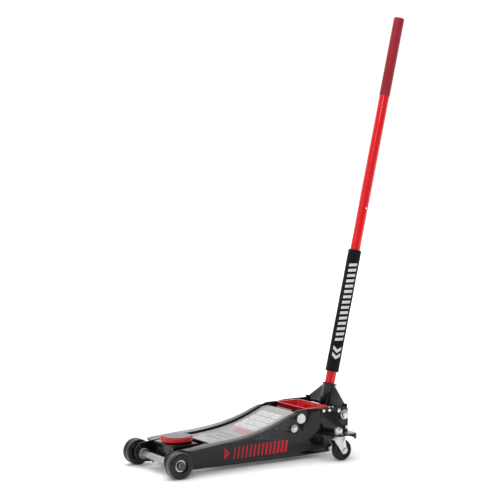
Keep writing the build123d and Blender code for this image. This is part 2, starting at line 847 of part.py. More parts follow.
finish(round_part(tank_x + gland_t, barrel_end - cap_t, 0, ram_z, barrel_r, bore_r), "ram_barrel")
finish(round_part(barrel_end - cap_t, barrel_end, 0, ram_z, barrel_r), "barrel_cap")
finish(round_part(tank_x, tank_x + gland_t, 0, ram_z, tank_r, ram_r + running_gap), "ram_gland")
finish(round_part(tank_x + gland_t, block_x, 0, ram_z, tank_r, tank_r - 3), "oil_tank")

pump_x = tank_x + 15
spring_seat = block_end - 10
with BuildPart() as block:
    with BuildSketch(along(block_x)):
        with BuildLine():
            FilletPolyline(
                (block_half, cradle_z + 2),
                (block_half, ram_z + 30),
                (pump_r + 8, roller_z + pump_r),
                (-pump_r - 8, roller_z + pump_r),
                (-block_half, ram_z + 30),
                (-block_half, cradle_z + 2),
                radius=[8, 6, 6, 8],
            )
            Line((-block_half, cradle_z + 2), (block_half, cradle_z + 2))
        make_face()
        with Locations((0, ram_z)):
            Circle(barrel_r, mode=Mode.SUBTRACT)
    extrude(amount=block_t)
    with BuildSketch(along(pump_x)):
        with Locations((0, roller_z)):
            Circle(pump_r)
    extrude(amount=block_x - pump_x)
    with BuildSketch(along(pump_x + 4)):
        with Locations((0, roller_z)):
            Circle(plunger_r + running_gap)
    extrude(amount=200, mode=Mode.SUBTRACT)
    with BuildSketch(along(spring_seat)):
        with Locations((0, roller_z)):
            Circle(plunger_head_r)
    extrude(amount=200, mode=Mode.SUBTRACT)
    with BuildSketch(along(block_end - 14)):
        with Locations((valve_y, valve_z)):
            Circle(5 + running_gap)
    extrude(amount=200, mode=Mode.SUBTRACT)
finish(block.part, "pump_block")

with BuildPart() as plunger:
    with BuildSketch(along(block_x + 5)):
        with Locations((0, roller_z)):
            Circle(plunger_r)
    extrude(amount=plunger_face - block_x - 5)
    with BuildSketch(along(plunger_face - 5)):
        with Locations((0, roller_z)):
            Circle(plunger_head_r)
    extrude(amount=5)
finish(plunger.part, "pump_plunger")
plunger_coil = round_part(spring_seat, plunger_face - 5, 0, roller_z, plunger_head_r - 0.6, plunger_r + 0.5)
finish(plunger_coil, "plunger_spring")

with BuildPart() as valve:
    with BuildSketch(along(block_end - 13)):
        with Locations((valve_y, valve_z)):
            Circle(5)
    extrude(amount=30)
    with BuildSketch(along(block_end + 4)):
        with Locations((valve_y, valve_z)):
            RectangleRounded(13, 9, 1.5)
    extrude(amount=11)
finish(valve.part, "release_valve")

with BuildPart() as cradle:
    with BuildSketch(Plane.XY.offset(cradle_z + 2)):
        with Locations(((block_x + 3 + low_rear_x) / 2, 0)):
            Rectangle(low_rear_x - block_x - 3, 2 * side_in)
    extrude(amount=-5)
finish(cradle.part, "unit_cradle")
unit_bolts = [
    hexagon(Plane(origin=(block_x + 13, y, cradle_z - 3), z_dir=(0, 0, -1)), 13, 4) for y in (-26, 26)
]
spring_end = block_x + 3
return_spring = round_part(head_x1, spring_end, -spring_y, spring_z, 5, 3)
finish(group(both_sides(return_spring)), "return_springs")

# ---- handle yoke --------------------------------------------------------
ear_in = roller_half + 2.4
ear_w = 6.0
side_ear = rear_in - 2.0
socket_r = handle_r + socket_gap + socket_wall
socket_low = yoke_pin_r + 12
with BuildPart() as yoke:
    for y in (side_ear, -ear_in, ear_in + ear_w, -side_ear + ear_w):
        outer = abs(y) > 2 * ear_in + ear_w
        with BuildSketch(beside_yoke(y)):
            Circle(16 if outer else 13)
            with Locations((0, 16)):
                Rectangle(20 if outer else 22, 32)
        extrude(amount=ear_w)
    for y in (ear_in + ear_w, -ear_in - ear_w):
        with BuildSketch(across(y if y > 0 else y + ear_w)):
            with BuildLine():
                Polyline(
                    (yoke_x - 11, yoke_z),
                    (yoke_x + 11, yoke_z + 4),
                    (roller_x + roller_r - 1, roller_z),
                    (roller_x - roller_r + 1, roller_z - 1),
                    close=True,
                )
            make_face()
            with Locations((roller_x, roller_z)):
                Circle(roller_r - 1)
        extrude(amount=ear_w)
    for y in (side_ear, -ear_in):
        with BuildSketch(across(y)):
            with Locations((yoke_x, yoke_z)):
                Circle(12.5)
        extrude(amount=side_ear - ear_in)
    with BuildSketch(up_handle(socket_low)):
        Circle(socket_r)
    extrude(amount=socket_top - socket_low)
    with BuildSketch(up_handle(socket_top - 5)):
        Circle(ring_r)
    extrude(amount=5)
    web_plane = Plane(origin=(yoke_x, 0, yoke_z), x_dir=(0, 1, 0), z_dir=back)
    with BuildSketch(web_plane.offset(-2.5)):
        Polygon(
            (-side_ear, 14),
            (-side_ear, 28),
            (-socket_r - 12, socket_top - 8),
            (socket_r + 12, socket_top - 8),
            (side_ear, 28),
            (side_ear, 14),
            align=None,
        )
    extrude(amount=5)
    with BuildSketch(up_handle(handle_low - free_gap)):
        Circle(handle_r + socket_gap)
    extrude(amount=200, mode=Mode.SUBTRACT)
    with BuildSketch(across(200)):
        with Locations((yoke_x, yoke_z)):
            Circle(yoke_pin_r + running_gap)
        with Locations((roller_x, roller_z)):
            Circle(4)
    extrude(amount=400, mode=Mode.SUBTRACT)
finish(yoke.part, "handle_yoke")
finish(bar(yoke_x, yoke_z, -rear_half - 3, rear_half + 3, yoke_pin_r), "yoke_shaft")
yoke_nuts = []
for left in (True, False):
    sign = -1 if left else 1
    yoke_nuts.append(bar(yoke_x, yoke_z, sign * rear_half, sign * (rear_half + 3), 15, yoke_pin_r))
    yoke_nuts.append(hexagon(side_face(yoke_x, yoke_z, rear_half + 3, left), 22, 8))
finish(group(tie_nuts + yoke_nuts + unit_bolts), "frame_nuts")
finish(bar(roller_x, roller_z, -roller_half, roller_half, roller_r, 4, 0.6), "pump_roller")
finish(bar(roller_x, roller_z, -ear_in - ear_w, ear_in + ear_w, 4), "roller_pin")

# ---- handle -------------------------------------------------------------
def sleeve_up(low, high, radius, hole=0.0):
    """A round piece on the handle's axis, between two distances from the yoke pivot."""
    with BuildPart() as piece:
        with BuildSketch(up_handle(low)):
            Circle(radius)
            if hole:
                Circle(hole, mode=Mode.SUBTRACT)
        extrude(amount=high - low)
    return piece.part


bore = handle_r - handle_wall
insert = bore - 0.1
insert_in = insert - handle_wall
spot = up_handle(button_at).origin
button_side = Plane(origin=(spot.X, 0, spot.Z), x_dir=(1, 0, 0), z_dir=(0, -1, 0))

with BuildPart() as lower_tube:
    add(sleeve_up(handle_low, joint_at - 0.2, handle_r, bore))
    with BuildSketch(button_side):
        Circle(button_r + free_gap)
    extrude(amount=2 * handle_r, mode=Mode.SUBTRACT)
finish(lower_tube.part, "handle_lower_tube")

with BuildPart() as upper_tube:
    add(sleeve_up(joint_at, handle_end - 4, handle_r, bore))
    add(sleeve_up(joint_at - 70, joint_at + 20, insert, insert_in))
    add(sleeve_up(joint_at, joint_at + 20, bore, insert_in))
    with BuildSketch(button_side):
        Circle(button_r + free_gap)
    extrude(amount=2 * handle_r, mode=Mode.SUBTRACT)
finish(upper_tube.part, "handle_upper_tube")
finish(sleeve_up(foam_low, foam_high, foam_r, handle_r), "foam_sleeve")
finish(sleeve_up(grip_low, handle_end - 4, handle_r + grip_t, handle_r), "hand_grip")
finish(sleeve_up(handle_end - 4, handle_end, handle_r + grip_t), "handle_cap")

with BuildPart() as button:
    with BuildSketch(button_side.offset(handle_r + 2.5)):
        Circle(button_r)
    extrude(amount=-8)
    fillet(button.faces().sort_by(Axis.Y)[0].edges(), 1.5)
finish(button.part, "snap_button")

# ---- tool tray ----------------------------------------------------------
middle = (tray_x0 + tray_x1) / 2
length = tray_x1 - tray_x0
with BuildPart() as tray:
    with BuildSketch(Plane.XY.offset(tray_low)):
        with Locations((middle, 0)):
            RectangleRounded(length - 2 * tray_rim, 2 * tray_half - 4, 8)
    with BuildSketch(Plane.XY.offset(deck_z - tray_lip)):
        with Locations((middle, 0)):
            RectangleRounded(length - 2 * tray_rim + 6, 2 * tray_half, 8)
    loft()
    with BuildSketch(Plane.XY.offset(deck_z - tray_lip)):
        with Locations((middle, 0)):
            RectangleRounded(length, 2 * tray_half + 2 * tray_rim, 10)
    extrude(amount=tray_lip)
    with BuildSketch(Plane.XY.offset(tray_low + tray_wall)):
        with Locations((middle, 0)):
            RectangleRounded(length - 2 * tray_rim - 2 * tray_wall, 2 * (tray_half - 2 - tray_wall), 6)
    with BuildSketch(Plane.XY.offset(deck_z)):
        with Locations((middle, 0)):
            RectangleRounded(length - 2 * tray_rim - 2 * tray_wall + 6, 2 * (tray_half - tray_wall), 6)
    loft(mode=Mode.SUBTRACT)
    with BuildSketch(Plane.XY.offset(tray_low)):
        with Locations((middle, -tray_half / 3), (middle, tray_half / 3)):
            Rectangle(length - 2 * tray_rim - 1, 2)
    extrude(amount=deck_z - tray_low - 10)
finish(tray.part, "tool_tray")
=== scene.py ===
# %% [markdown]
# # A low trolley jack
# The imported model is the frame: every body, pivot and fit comes from it. This script gives it the looks:
# painted plate with worn edges, zinc-plated fasteners, moulded plastic, foam, and true coil springs.

import json
from math import cos, pi, radians, sin

import bmesh
import bpy
from mathutils import Matrix, Vector
from mathutils.bvhtree import BVHTree


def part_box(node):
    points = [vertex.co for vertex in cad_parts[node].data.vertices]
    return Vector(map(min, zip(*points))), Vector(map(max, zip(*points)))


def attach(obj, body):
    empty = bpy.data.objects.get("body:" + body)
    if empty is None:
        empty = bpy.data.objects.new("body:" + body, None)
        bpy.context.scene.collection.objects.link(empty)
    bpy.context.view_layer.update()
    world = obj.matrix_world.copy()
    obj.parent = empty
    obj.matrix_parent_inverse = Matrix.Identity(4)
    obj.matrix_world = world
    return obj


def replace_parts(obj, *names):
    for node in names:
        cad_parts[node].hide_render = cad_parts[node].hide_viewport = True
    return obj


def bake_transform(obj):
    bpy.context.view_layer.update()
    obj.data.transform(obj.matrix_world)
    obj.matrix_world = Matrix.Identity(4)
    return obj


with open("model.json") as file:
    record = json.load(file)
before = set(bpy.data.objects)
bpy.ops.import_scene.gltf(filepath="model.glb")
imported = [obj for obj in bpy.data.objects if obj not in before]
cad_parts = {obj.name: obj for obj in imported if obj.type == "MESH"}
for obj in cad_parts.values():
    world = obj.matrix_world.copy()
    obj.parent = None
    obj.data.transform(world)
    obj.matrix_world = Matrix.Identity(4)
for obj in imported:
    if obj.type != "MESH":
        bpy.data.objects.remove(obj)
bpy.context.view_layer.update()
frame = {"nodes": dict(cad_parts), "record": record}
nodes = frame["nodes"]
record = frame["record"]
node_body = {n: b for b, group in record["behaviour"]["bodies"].items() for n in group}
node_slot = {part["node"]: part["material_slot"] for part in record["subparts"]}
joint = {j["name"]: j for j in record["behaviour"]["joints"]}

# %% Helpers for objects and meshes
def in_scene(name, data):
    """A new object of this data, linked to the scene."""
    made = bpy.data.objects.new(name, data)
    bpy.context.scene.collection.objects.link(made)
    return made


def from_bmesh(shape, name):
    """Turns a bmesh into a mesh of this name, and frees it."""
    mesh = bpy.data.meshes.new(name)
    shape.to_mesh(mesh)
    shape.free()
    return mesh


def smooth(mesh):
    """Shades every face of a mesh smooth."""
    mesh.polygons.foreach_set("use_smooth", [True] * len(mesh.polygons))


# %% [markdown]
# ## Camera, floor and light
# The jack is seen from its front left, from just above the handle's middle, through a long lens.
# Big soft lights give painted steel long, even highlights; a dark, narrow reflection would read as dirt.

# %% Camera
AIM_YAW = radians(32.67)
AIM_PITCH = radians(-4.0)
camera_data = bpy.data.cameras.new("camera")
camera = in_scene("camera", camera_data)
camera.location = (-2.2862, -4.0672, 0.9885)
aim = Vector((sin(AIM_YAW) * cos(AIM_PITCH), cos(AIM_YAW) * cos(AIM_PITCH), sin(AIM_PITCH)))
camera.rotation_mode = "QUATERNION"
camera.rotation_quaternion = aim.to_track_quat("-Z", "Y")
camera_data.sensor_width = 36.0
camera_data.lens = 116.2
camera_data.shift_y = -0.0103
camera_data.clip_end = 60.0
bpy.context.scene.camera = camera

# %% Floor and lights
def area_light(name, place, aim_at, size, power, size_y=None):
    """A soft rectangular lamp that faces a point."""
    data = bpy.data.lights.new(name, "AREA")
    data.shape = "RECTANGLE"
    data.size = size
    data.size_y = size_y or size
    data.energy = power
    lamp = in_scene(name, data)
    lamp.location = place
    lamp.rotation_mode = "QUATERNION"
    lamp.rotation_quaternion = (Vector(aim_at) - Vector(place)).to_track_quat("-Z", "Y")


floor_mesh = bpy.data.meshes.new("floor")
FLOOR_HALF = 14.0
corners = [(-FLOOR_HALF, -FLOOR_HALF, 0), (FLOOR_HALF, -FLOOR_HALF, 0)]
corners += [(FLOOR_HALF, FLOOR_HALF, 0), (-FLOOR_HALF, FLOOR_HALF, 0)]
floor_mesh.from_pydata(corners, [], [(0, 1, 2, 3)])
floor = in_scene("floor", floor_mesh)

middle = (0.35, 0.0, 0.2)
area_light("key", (-1.9, -2.3, 2.9), middle, 1.6, 38)
area_light("top", (0.3, 0.4, 3.4), middle, 3.4, 72)
area_light("front_strip", (-3.0, -0.5, 1.1), (0.0, 0, 0.1), 0.7, 12, 2.0)
world = bpy.data.worlds.new("studio")
world.use_nodes = True
sky = world.node_tree.nodes["Background"]
sky.inputs["Color"].default_value = (1, 1, 1, 1)
# the backdrop is seen white, and it lights the jack more from behind than from the front
heading = world.node_tree.nodes.new("ShaderNodeVectorMath")
heading.operation = "DOT_PRODUCT"
heading.inputs[1].default_value = (0.54, 0.84, 0.25)
toward = world.node_tree.nodes.new("ShaderNodeTexCoord")
world.node_tree.links.new(toward.outputs["Generated"], heading.inputs[0])
spread_level = world.node_tree.nodes.new("ShaderNodeMapRange")
for label, value in (("From Min", -0.3), ("From Max", 0.7), ("To Min", 0.30), ("To Max", 1.15)):
    spread_level.inputs[label].default_value = value
world.node_tree.links.new(heading.outputs["Value"], spread_level.inputs["Value"])
seen = world.node_tree.nodes.new("ShaderNodeLightPath")
level = world.node_tree.nodes.new("ShaderNodeMapRange")
level.inputs["To Max"].default_value = 1.03
world.node_tree.links.new(spread_level.outputs["Result"], level.inputs["To Min"])
world.node_tree.links.new(seen.outputs["Is Camera Ray"], level.inputs["Value"])
world.node_tree.links.new(level.outputs["Result"], sky.inputs["Strength"])
bpy.context.scene.world = world
bpy.context.scene.view_settings.view_transform = "Standard"

# %% [markdown]
# ## Shared effects
# Paint, plastic and plate all need three things: a slow drift of colour, a fine unevenness that breaks up
# a highlight, and wear where an edge is rubbed. Each is a node group, built once, that puts out only a
# mask, a colour or a normal, so that it can feed any material.

# %% Helpers for node trees
def new_group(name, inputs, outputs):
    """A shader node group with named sockets; returns the tree, its input node and its output node."""
    tree = bpy.data.node_groups.new(name, "ShaderNodeTree")
    for label, kind, value in inputs:
        socket = tree.interface.new_socket(label, in_out="INPUT", socket_type=kind)
        socket.default_value = value
    for label, kind in outputs:
        tree.interface.new_socket(label, in_out="OUTPUT", socket_type=kind)
    return tree, tree.nodes.new("NodeGroupInput"), tree.nodes.new("NodeGroupOutput")


def wire(tree, start, end):
    """Connects two sockets."""
    tree.links.new(start, end)


def product(tree, first, second):
    """The product of two sockets, clamped to 0..1."""
    node = tree.nodes.new("ShaderNodeMath")
    node.operation = "MULTIPLY"
    node.use_clamp = True
    wire(tree, first, node.inputs[0])
    wire(tree, second, node.inputs[1])
    return node.outputs[0]


def feed(tree, value, socket):
    """Sets a socket to a number, or connects another socket to it."""
    if isinstance(value, (int, float)):
        socket.default_value = value
    else:
        wire(tree, value, socket)


def noise(tree, vector, scale, detail, rough):
    """A noise texture's value."""
    node = tree.nodes.new("ShaderNodeTexNoise")
    node.inputs["Detail"].default_value = detail
    node.inputs["Roughness"].default_value = rough
    wire(tree, vector, node.inputs["Vector"])
    feed(tree, scale, node.inputs["Scale"])
    return node.outputs["Fac"]


def ramp(tree, value, low, high, to_low=0.0, to_high=1.0):
    """Maps low..high to to_low..to_high, clamped."""
    node = tree.nodes.new("ShaderNodeMapRange")
    node.inputs["From Min"].default_value = low
    node.inputs["From Max"].default_value = high
    feed(tree, to_low, node.inputs["To Min"])
    feed(tree, to_high, node.inputs["To Max"])
    wire(tree, value, node.inputs["Value"])
    return node.outputs["Result"]


def mix(tree, fac, first, second):
    """A colour between first and second, by a mask; sockets 6, 7 and 2 are the colour ones."""
    node = tree.nodes.new("ShaderNodeMix")
    node.data_type = "RGBA"
    wire(tree, fac, node.inputs[0])
    for socket, value in ((node.inputs[6], first), (node.inputs[7], second)):
        if isinstance(value, tuple):
            socket.default_value = (*value, 1.0)
        else:
            wire(tree, value, socket)
    return node.outputs[2]


# %% Surface drift: slow and fine unevenness
drift, d_in, d_out = new_group(
    "surface_drift",
    [("Scale", "NodeSocketFloat", 12.0), ("Low", "NodeSocketFloat", 0.2), ("High", "NodeSocketFloat", 0.3)],
    [("Value", "NodeSocketFloat"), ("Mask", "NodeSocketFloat")],
)
coords = drift.nodes.new("ShaderNodeTexCoord").outputs["Object"]
slow = noise(drift, coords, d_in.outputs["Scale"], 4.0, 0.6)
mask = ramp(drift, slow, 0.35, 0.68)
wire(drift, mask, d_out.inputs["Mask"])
wire(drift, ramp(drift, slow, 0.3, 0.7, d_in.outputs["Low"], d_in.outputs["High"]), d_out.inputs["Value"])

# %% Edge wear: rubbed edges, broken up by noise
wear, w_in, w_out = new_group(
    "edge_wear",
    [("Amount", "NodeSocketFloat", 0.5), ("Scale", "NodeSocketFloat", 90.0)],
    [("Mask", "NodeSocketFloat")],
)
coords = wear.nodes.new("ShaderNodeTexCoord").outputs["Object"]
edge = ramp(wear, wear.nodes.new("ShaderNodeNewGeometry").outputs["Pointiness"], 0.56, 0.68)
broken = ramp(wear, noise(wear, coords, w_in.outputs["Scale"], 5.0, 0.7), 0.40, 0.62)
rubbed = product(wear, edge, broken)
wire(wear, product(wear, rubbed, w_in.outputs["Amount"]), w_out.inputs["Mask"])

# %% Dust: what settles on faces that look up
dust, u_in, u_out = new_group(
    "settled_dust",
    [("Amount", "NodeSocketFloat", 0.08)],
    [("Mask", "NodeSocketFloat")],
)
coords = dust.nodes.new("ShaderNodeTexCoord").outputs["Object"]
normal = dust.nodes.new("ShaderNodeNewGeometry").outputs["Normal"]
split = dust.nodes.new("ShaderNodeSeparateXYZ")
wire(dust, normal, split.inputs[0])
upward = ramp(dust, split.outputs["Z"], 0.5, 1.0)
patchy = ramp(dust, noise(dust, coords, 35.0, 6.0, 0.65), 0.35, 0.75)
settled = product(dust, upward, patchy)
wire(dust, product(dust, settled, u_in.outputs["Amount"]), u_out.inputs["Mask"])

# %% Tops: painted light, a pale colour where a face looks straight up, as on the lit tops of the pad's ribs
tops, t_in, t_out = new_group(
    "painted_top_light", [("Amount", "NodeSocketFloat", 0.9)], [("Mask", "NodeSocketFloat")])
split = tops.nodes.new("ShaderNodeSeparateXYZ")
wire(tops, tops.nodes.new("ShaderNodeNewGeometry").outputs["Normal"], split.inputs[0])
facing = ramp(tops, split.outputs["Z"], 0.80, 0.97)
wire(tops, product(tops, facing, t_in.outputs["Amount"]), t_out.inputs["Mask"])

# %% Fine grain: a normal for orange peel, moulded plastic and foam
grain, g_in, g_out = new_group(
    "fine_grain",
    [
        ("Scale", "NodeSocketFloat", 400.0),
        ("Strength", "NodeSocketFloat", 0.1),
        ("Stretch", "NodeSocketVector", (1, 1, 1)),
    ],
    [("Normal", "NodeSocketVector")],
)
coords = grain.nodes.new("ShaderNodeTexCoord").outputs["Object"]
stretch = grain.nodes.new("ShaderNodeVectorMath")
stretch.operation = "MULTIPLY"
wire(grain, coords, stretch.inputs[0])
wire(grain, g_in.outputs["Stretch"], stretch.inputs[1])
bump = grain.nodes.new("ShaderNodeBump")
bump.inputs["Distance"].default_value = 0.0004
wire(grain, noise(grain, stretch.outputs[0], g_in.outputs["Scale"], 3.0, 0.6), bump.inputs["Height"])
wire(grain, g_in.outputs["Strength"], bump.inputs["Strength"])
wire(grain, bump.outputs["Normal"], g_out.inputs["Normal"])
print("groups", [g.name for g in (drift, wear, dust, tops, grain)])

# %% [markdown]
# ## Finishes
# One function makes every finish from the same parts: a base colour that drifts, an optional wear colour under the
# edges, an optional painted light that makes faces that look up pale, dust, grain, and roughness that varies with the
# drift.

# %% The finish maker
def finish(name, colour, rough, metallic=0.0, coat=0.0, drift_scale=9.0, shade=0.85, worn=None, wear_amount=0.0,
           dust_amount=0.0, grain_scale=500.0, grain_strength=0.05, stretch=(1, 1, 1), sheen=0.0, specular=0.5,
           top_colour=None):
    """A Principled material whose colour, roughness and normal vary over the surface."""
    material = bpy.data.materials.new(name)
    material.use_nodes = True
    tree = material.node_tree
    shader = tree.nodes["Principled BSDF"]
    shader.inputs["Coat Weight"].default_value = coat
    shader.inputs["Coat Roughness"].default_value = 0.06
    shader.inputs["Sheen Weight"].default_value = sheen
    shader.inputs["Specular IOR Level"].default_value = specular

    def place(group, **values):
        node = tree.nodes.new("ShaderNodeGroup")
        node.node_tree = group
        for label, value in values.items():
            node.inputs[label].default_value = value
        return node

    spread = place(drift, Scale=drift_scale, Low=rough[0], High=rough[1])
    darker = tuple(c * shade for c in colour)
    base = mix(tree, spread.outputs["Mask"], colour, darker)
    if worn:
        rub = place(wear, Amount=wear_amount)
        base = mix(tree, rub.outputs["Mask"], base, worn)
    # painted light: faces that look straight up take top_colour, as if lit from above
    if top_colour:
        base = mix(tree, place(tops).outputs["Mask"], base, top_colour)
    if dust_amount:
        lying = place(dust, Amount=dust_amount)
        base = mix(tree, lying.outputs["Mask"], base, (0.42, 0.40, 0.37))
    wire(tree, base, shader.inputs["Base Color"])
    wire(tree, spread.outputs["Value"], shader.inputs["Roughness"])
    shader.inputs["Metallic"].default_value = metallic
    skin = place(grain, Scale=grain_scale, Strength=grain_strength, Stretch=stretch)
    wire(tree, skin.outputs["Normal"], shader.inputs["Normal"])
    return material


# %% The jack's finishes
STEEL_UNDER = (0.42, 0.42, 0.43)
black_enamel = finish("black_enamel", (0.0075, 0.0060, 0.0070), (0.09, 0.17), coat=0.1, worn=(0.12, 0.12, 0.125),
                      wear_amount=0.4, dust_amount=0.012, grain_scale=260, grain_strength=0.04, specular=0.3)
grey_enamel = finish("grey_enamel", (0.33, 0.325, 0.33), (0.26, 0.38), coat=0.05, shade=0.90, worn=STEEL_UNDER,
                     wear_amount=0.4, dust_amount=0.03, grain_scale=300, grain_strength=0.05, specular=0.3)
red_enamel = finish("red_enamel", (0.66, 0.003, 0.010), (0.16, 0.26), coat=0.25, shade=0.9, grain_scale=200,
                    grain_strength=0.04, specular=0.35)
red_saddle = finish("red_saddle", (0.66, 0.006, 0.014), (0.28, 0.42), coat=0.1, shade=0.85, worn=(0.35, 0.08, 0.08),
                    wear_amount=0.4, grain_scale=500, grain_strength=0.1, specular=0.3)
saddle_rubber = finish("saddle_rubber", (0.009, 0.009, 0.009), (0.55, 0.75), shade=0.7, grain_scale=900,
                       grain_strength=0.25, specular=0.2)
crimson_grip = finish("crimson_grip", (0.30, 0.008, 0.020), (0.45, 0.6), shade=0.8, grain_scale=1400,
                      grain_strength=0.5, specular=0.3)
black_foam = finish("black_foam", (0.0075, 0.007, 0.0075), (0.85, 0.98), shade=0.75, grain_scale=1800,
                    grain_strength=0.7, sheen=0.05, specular=0.15)
red_plastic = finish("red_plastic", (0.56, 0.010, 0.022), (0.28, 0.4), shade=0.9, dust_amount=0.03,
                     grain_scale=900, grain_strength=0.12, specular=0.3)
wheel_black = finish("wheel_black", (0.007, 0.0065, 0.007), (0.20, 0.34), coat=0.1, shade=0.8, dust_amount=0.02,
                     worn=(0.06, 0.06, 0.06), wear_amount=0.4, grain_scale=500, grain_strength=0.12, specular=0.3)
caster_black = finish("caster_black", (0.009, 0.009, 0.010), (0.3, 0.5), shade=0.8, grain_scale=900,
                      grain_strength=0.15, specular=0.3)
zinc_plate = finish("zinc_plate", (0.66, 0.66, 0.67), (0.22, 0.38), metallic=1.0, shade=0.85, drift_scale=30,
                    grain_scale=700, grain_strength=0.08)
bare_steel = finish("bare_steel", (0.42, 0.42, 0.43), (0.28, 0.42), metallic=1.0, shade=0.8, drift_scale=25,
                    grain_scale=300, grain_strength=0.12, stretch=(1, 18, 1))
cast_block = finish("cast_block", (0.03, 0.03, 0.033), (0.4, 0.6), coat=0.1, shade=0.7, worn=(0.2, 0.2, 0.2),
                    wear_amount=0.5, grain_scale=300, grain_strength=0.4)
white_print = finish("white_print", (0.62, 0.62, 0.62), (0.35, 0.45), shade=0.93, grain_scale=400, specular=0.3)
grey_print = finish("grey_print", (0.20, 0.20, 0.205), (0.35, 0.45), shade=0.93, grain_scale=400, specular=0.3)
red_print = finish("red_print", (0.60, 0.006, 0.022), (0.25, 0.35), shade=0.9, grain_scale=400, specular=0.25)
faded_red = finish("faded_red", (0.40, 0.20, 0.21), (0.34, 0.46), shade=0.85, grain_scale=400, specular=0.3)
dark_steel = finish("dark_steel", (0.10, 0.10, 0.105), (0.28, 0.42), metallic=1.0, shade=0.8, drift_scale=25,
                    grain_scale=400, grain_strength=0.12)
floor_white = finish("floor_white", (0.93, 0.93, 0.93), (0.6, 0.7), shade=0.995, grain_strength=0.0)
floor.data.materials.append(floor_white)
# far from the jack the floor runs into the white backdrop
tree = floor_white.node_tree
away = tree.nodes.new("ShaderNodeVectorMath")
away.operation = "LENGTH"
wire(tree, tree.nodes.new("ShaderNodeTexCoord").outputs["Object"], away.inputs[0])
tree.nodes["Principled BSDF"].inputs["Emission Color"].default_value = (1, 1, 1, 1)
wire(tree, ramp(tree, away.outputs["Value"], 0.5, 4.5, 0.06, 0.75),
     tree.nodes["Principled BSDF"].inputs["Emission Strength"])

SLOT_FINISH = {
    "black_enamel": black_enamel, "grey_enamel": grey_enamel, "red_enamel": red_enamel,
    "red_saddle": red_saddle, "saddle_rubber": saddle_rubber, "crimson_grip": crimson_grip,
    "black_foam": black_foam, "red_plastic": red_plastic, "wheel_nylon": wheel_black,
    "caster_nylon": caster_black, "zinc_plate": zinc_plate, "bare_steel": bare_steel,
    "cast_block": cast_block,
}
for name, node in nodes.items():
    for index in range(max(1, len(node.material_slots))):
        if not node.material_slots:
            node.data.materials.append(None)
        node.material_slots[index].material = SLOT_FINISH[node_slot[name]]
print("finishes on", len(nodes), "nodes")

# %% [markdown]
# ## Pressed and cut steel
# Real plate has a small round along every edge, and that is what catches the light. Each flat piece
# is copied from its node, its triangles joined back into faces, and its edges rounded.

# %% Helpers for pieces
def link(name, mesh, body, slot):
    """An object of this mesh that rides on a body, with the slot's finish unless the mesh has its own."""
    piece = in_scene(name, mesh)
    if not mesh.materials:
        mesh.materials.append(SLOT_FINISH[slot])
    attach(piece, body)
    return piece


def settled_mesh(piece):
    """The mesh of an object with its modifiers applied."""
    graph = bpy.context.evaluated_depsgraph_get()
    return bpy.data.meshes.new_from_object(piece.evaluated_get(graph), depsgraph=graph)


def rounded(node_name, width):
    """A copy of a flat-faced node with its edges rounded by width, in metres."""
    shape = bmesh.new()
    shape.from_mesh(nodes[node_name].data)
    bmesh.ops.remove_doubles(shape, verts=shape.verts, dist=2e-6)
    bmesh.ops.dissolve_limit(shape, angle_limit=radians(0.6), verts=shape.verts, edges=shape.edges)
    draft = in_scene(node_name + "_draft", from_bmesh(shape, node_name + "_finished"))
    bevel = draft.modifiers.new("round", "BEVEL")
    bevel.width = width
    bevel.segments = 2
    bevel.limit_method = "ANGLE"
    bevel.angle_limit = radians(28)
    bevel.harden_normals = False
    result = settled_mesh(draft)
    bpy.data.objects.remove(draft)
    result.name = node_name + "_finished"
    smooth(result)
    result.set_sharp_from_angle(angle=radians(32))
    result.materials.clear()
    piece = link(node_name + "_finished", result, node_body[node_name], node_slot[node_name])
    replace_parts(piece, node_name)
    return piece


# %% Round the edges of plate, pressings, castings and fasteners
ROUNDING = {
    "side_plate_left": 0.0009, "side_plate_right": 0.0009, "arm_cover": 0.0008, "arm_cheeks": 0.0009,
    "saddle_bracket": 0.0014, "caster_shelves": 0.0012, "caster_fork_left": 0.0007,
    "caster_fork_right": 0.0007, "handle_yoke": 0.0009, "tool_tray": 0.0005, "pump_block": 0.0015,
    "unit_cradle": 0.0008, "radius_rods": 0.0008, "ram_head": 0.001, "frame_nuts": 0.0005,
    "kingpin_nuts": 0.0006, "axle_nuts": 0.0006, "link_bolts": 0.0005, "caster_bolt_left": 0.0005,
    "caster_bolt_right": 0.0005, "release_valve": 0.0005,
}
finished = {name: rounded(name, width) for name, width in ROUNDING.items()}
finished["axle_nuts"].data.materials[0] = dark_steel
nodes["axle_washers"].material_slots[0].material = dark_steel
print("rounded", len(finished))

# %% [markdown]
# ## Turned and moulded rounds
# Wheels, tubes, the foam sleeve and the saddle are bodies of revolution. A profile is spun round its
# axis in many steps, so that the outline stays round in a close view, and small radii are part of it.

# %% A lathe
def lathe(name, profile, origin, axis, steps=96):
    """Spins a profile of (radius, height) round an axis; a closed loop if its ends meet, capped if at radius 0."""
    axis = Vector(axis).normalized()
    turn = Vector((0, 0, 1)).rotation_difference(axis).to_matrix().to_4x4()
    place = Matrix.Translation(origin) @ turn
    shape = bmesh.new()
    rings = []
    for radius, height in profile:
        if radius < 1e-7:
            rings.append([shape.verts.new(place @ Vector((0, 0, height)))])
            continue
        angles = [2 * pi * k / steps for k in range(steps)]
        rings.append([shape.verts.new(place @ Vector((radius * cos(a), radius * sin(a), height))) for a in angles])
    closed = profile[0] != profile[-1] and profile[0][0] > 1e-7 and profile[-1][0] > 1e-7
    pairs = list(zip(rings, rings[1:])) + ([(rings[-1], rings[0])] if closed else [])
    for first, second in pairs:
        for k in range(steps):
            after = (k + 1) % steps
            if len(first) == 1:
                shape.faces.new((first[0], second[k], second[after]))
            elif len(second) == 1:
                shape.faces.new((first[k], second[0], first[after]))
            else:
                shape.faces.new((first[k], second[k], second[after], first[after]))
    bmesh.ops.recalc_face_normals(shape, faces=shape.faces)
    mesh = from_bmesh(shape, name)
    smooth(mesh)
    mesh.set_sharp_from_angle(angle=radians(35))
    return mesh


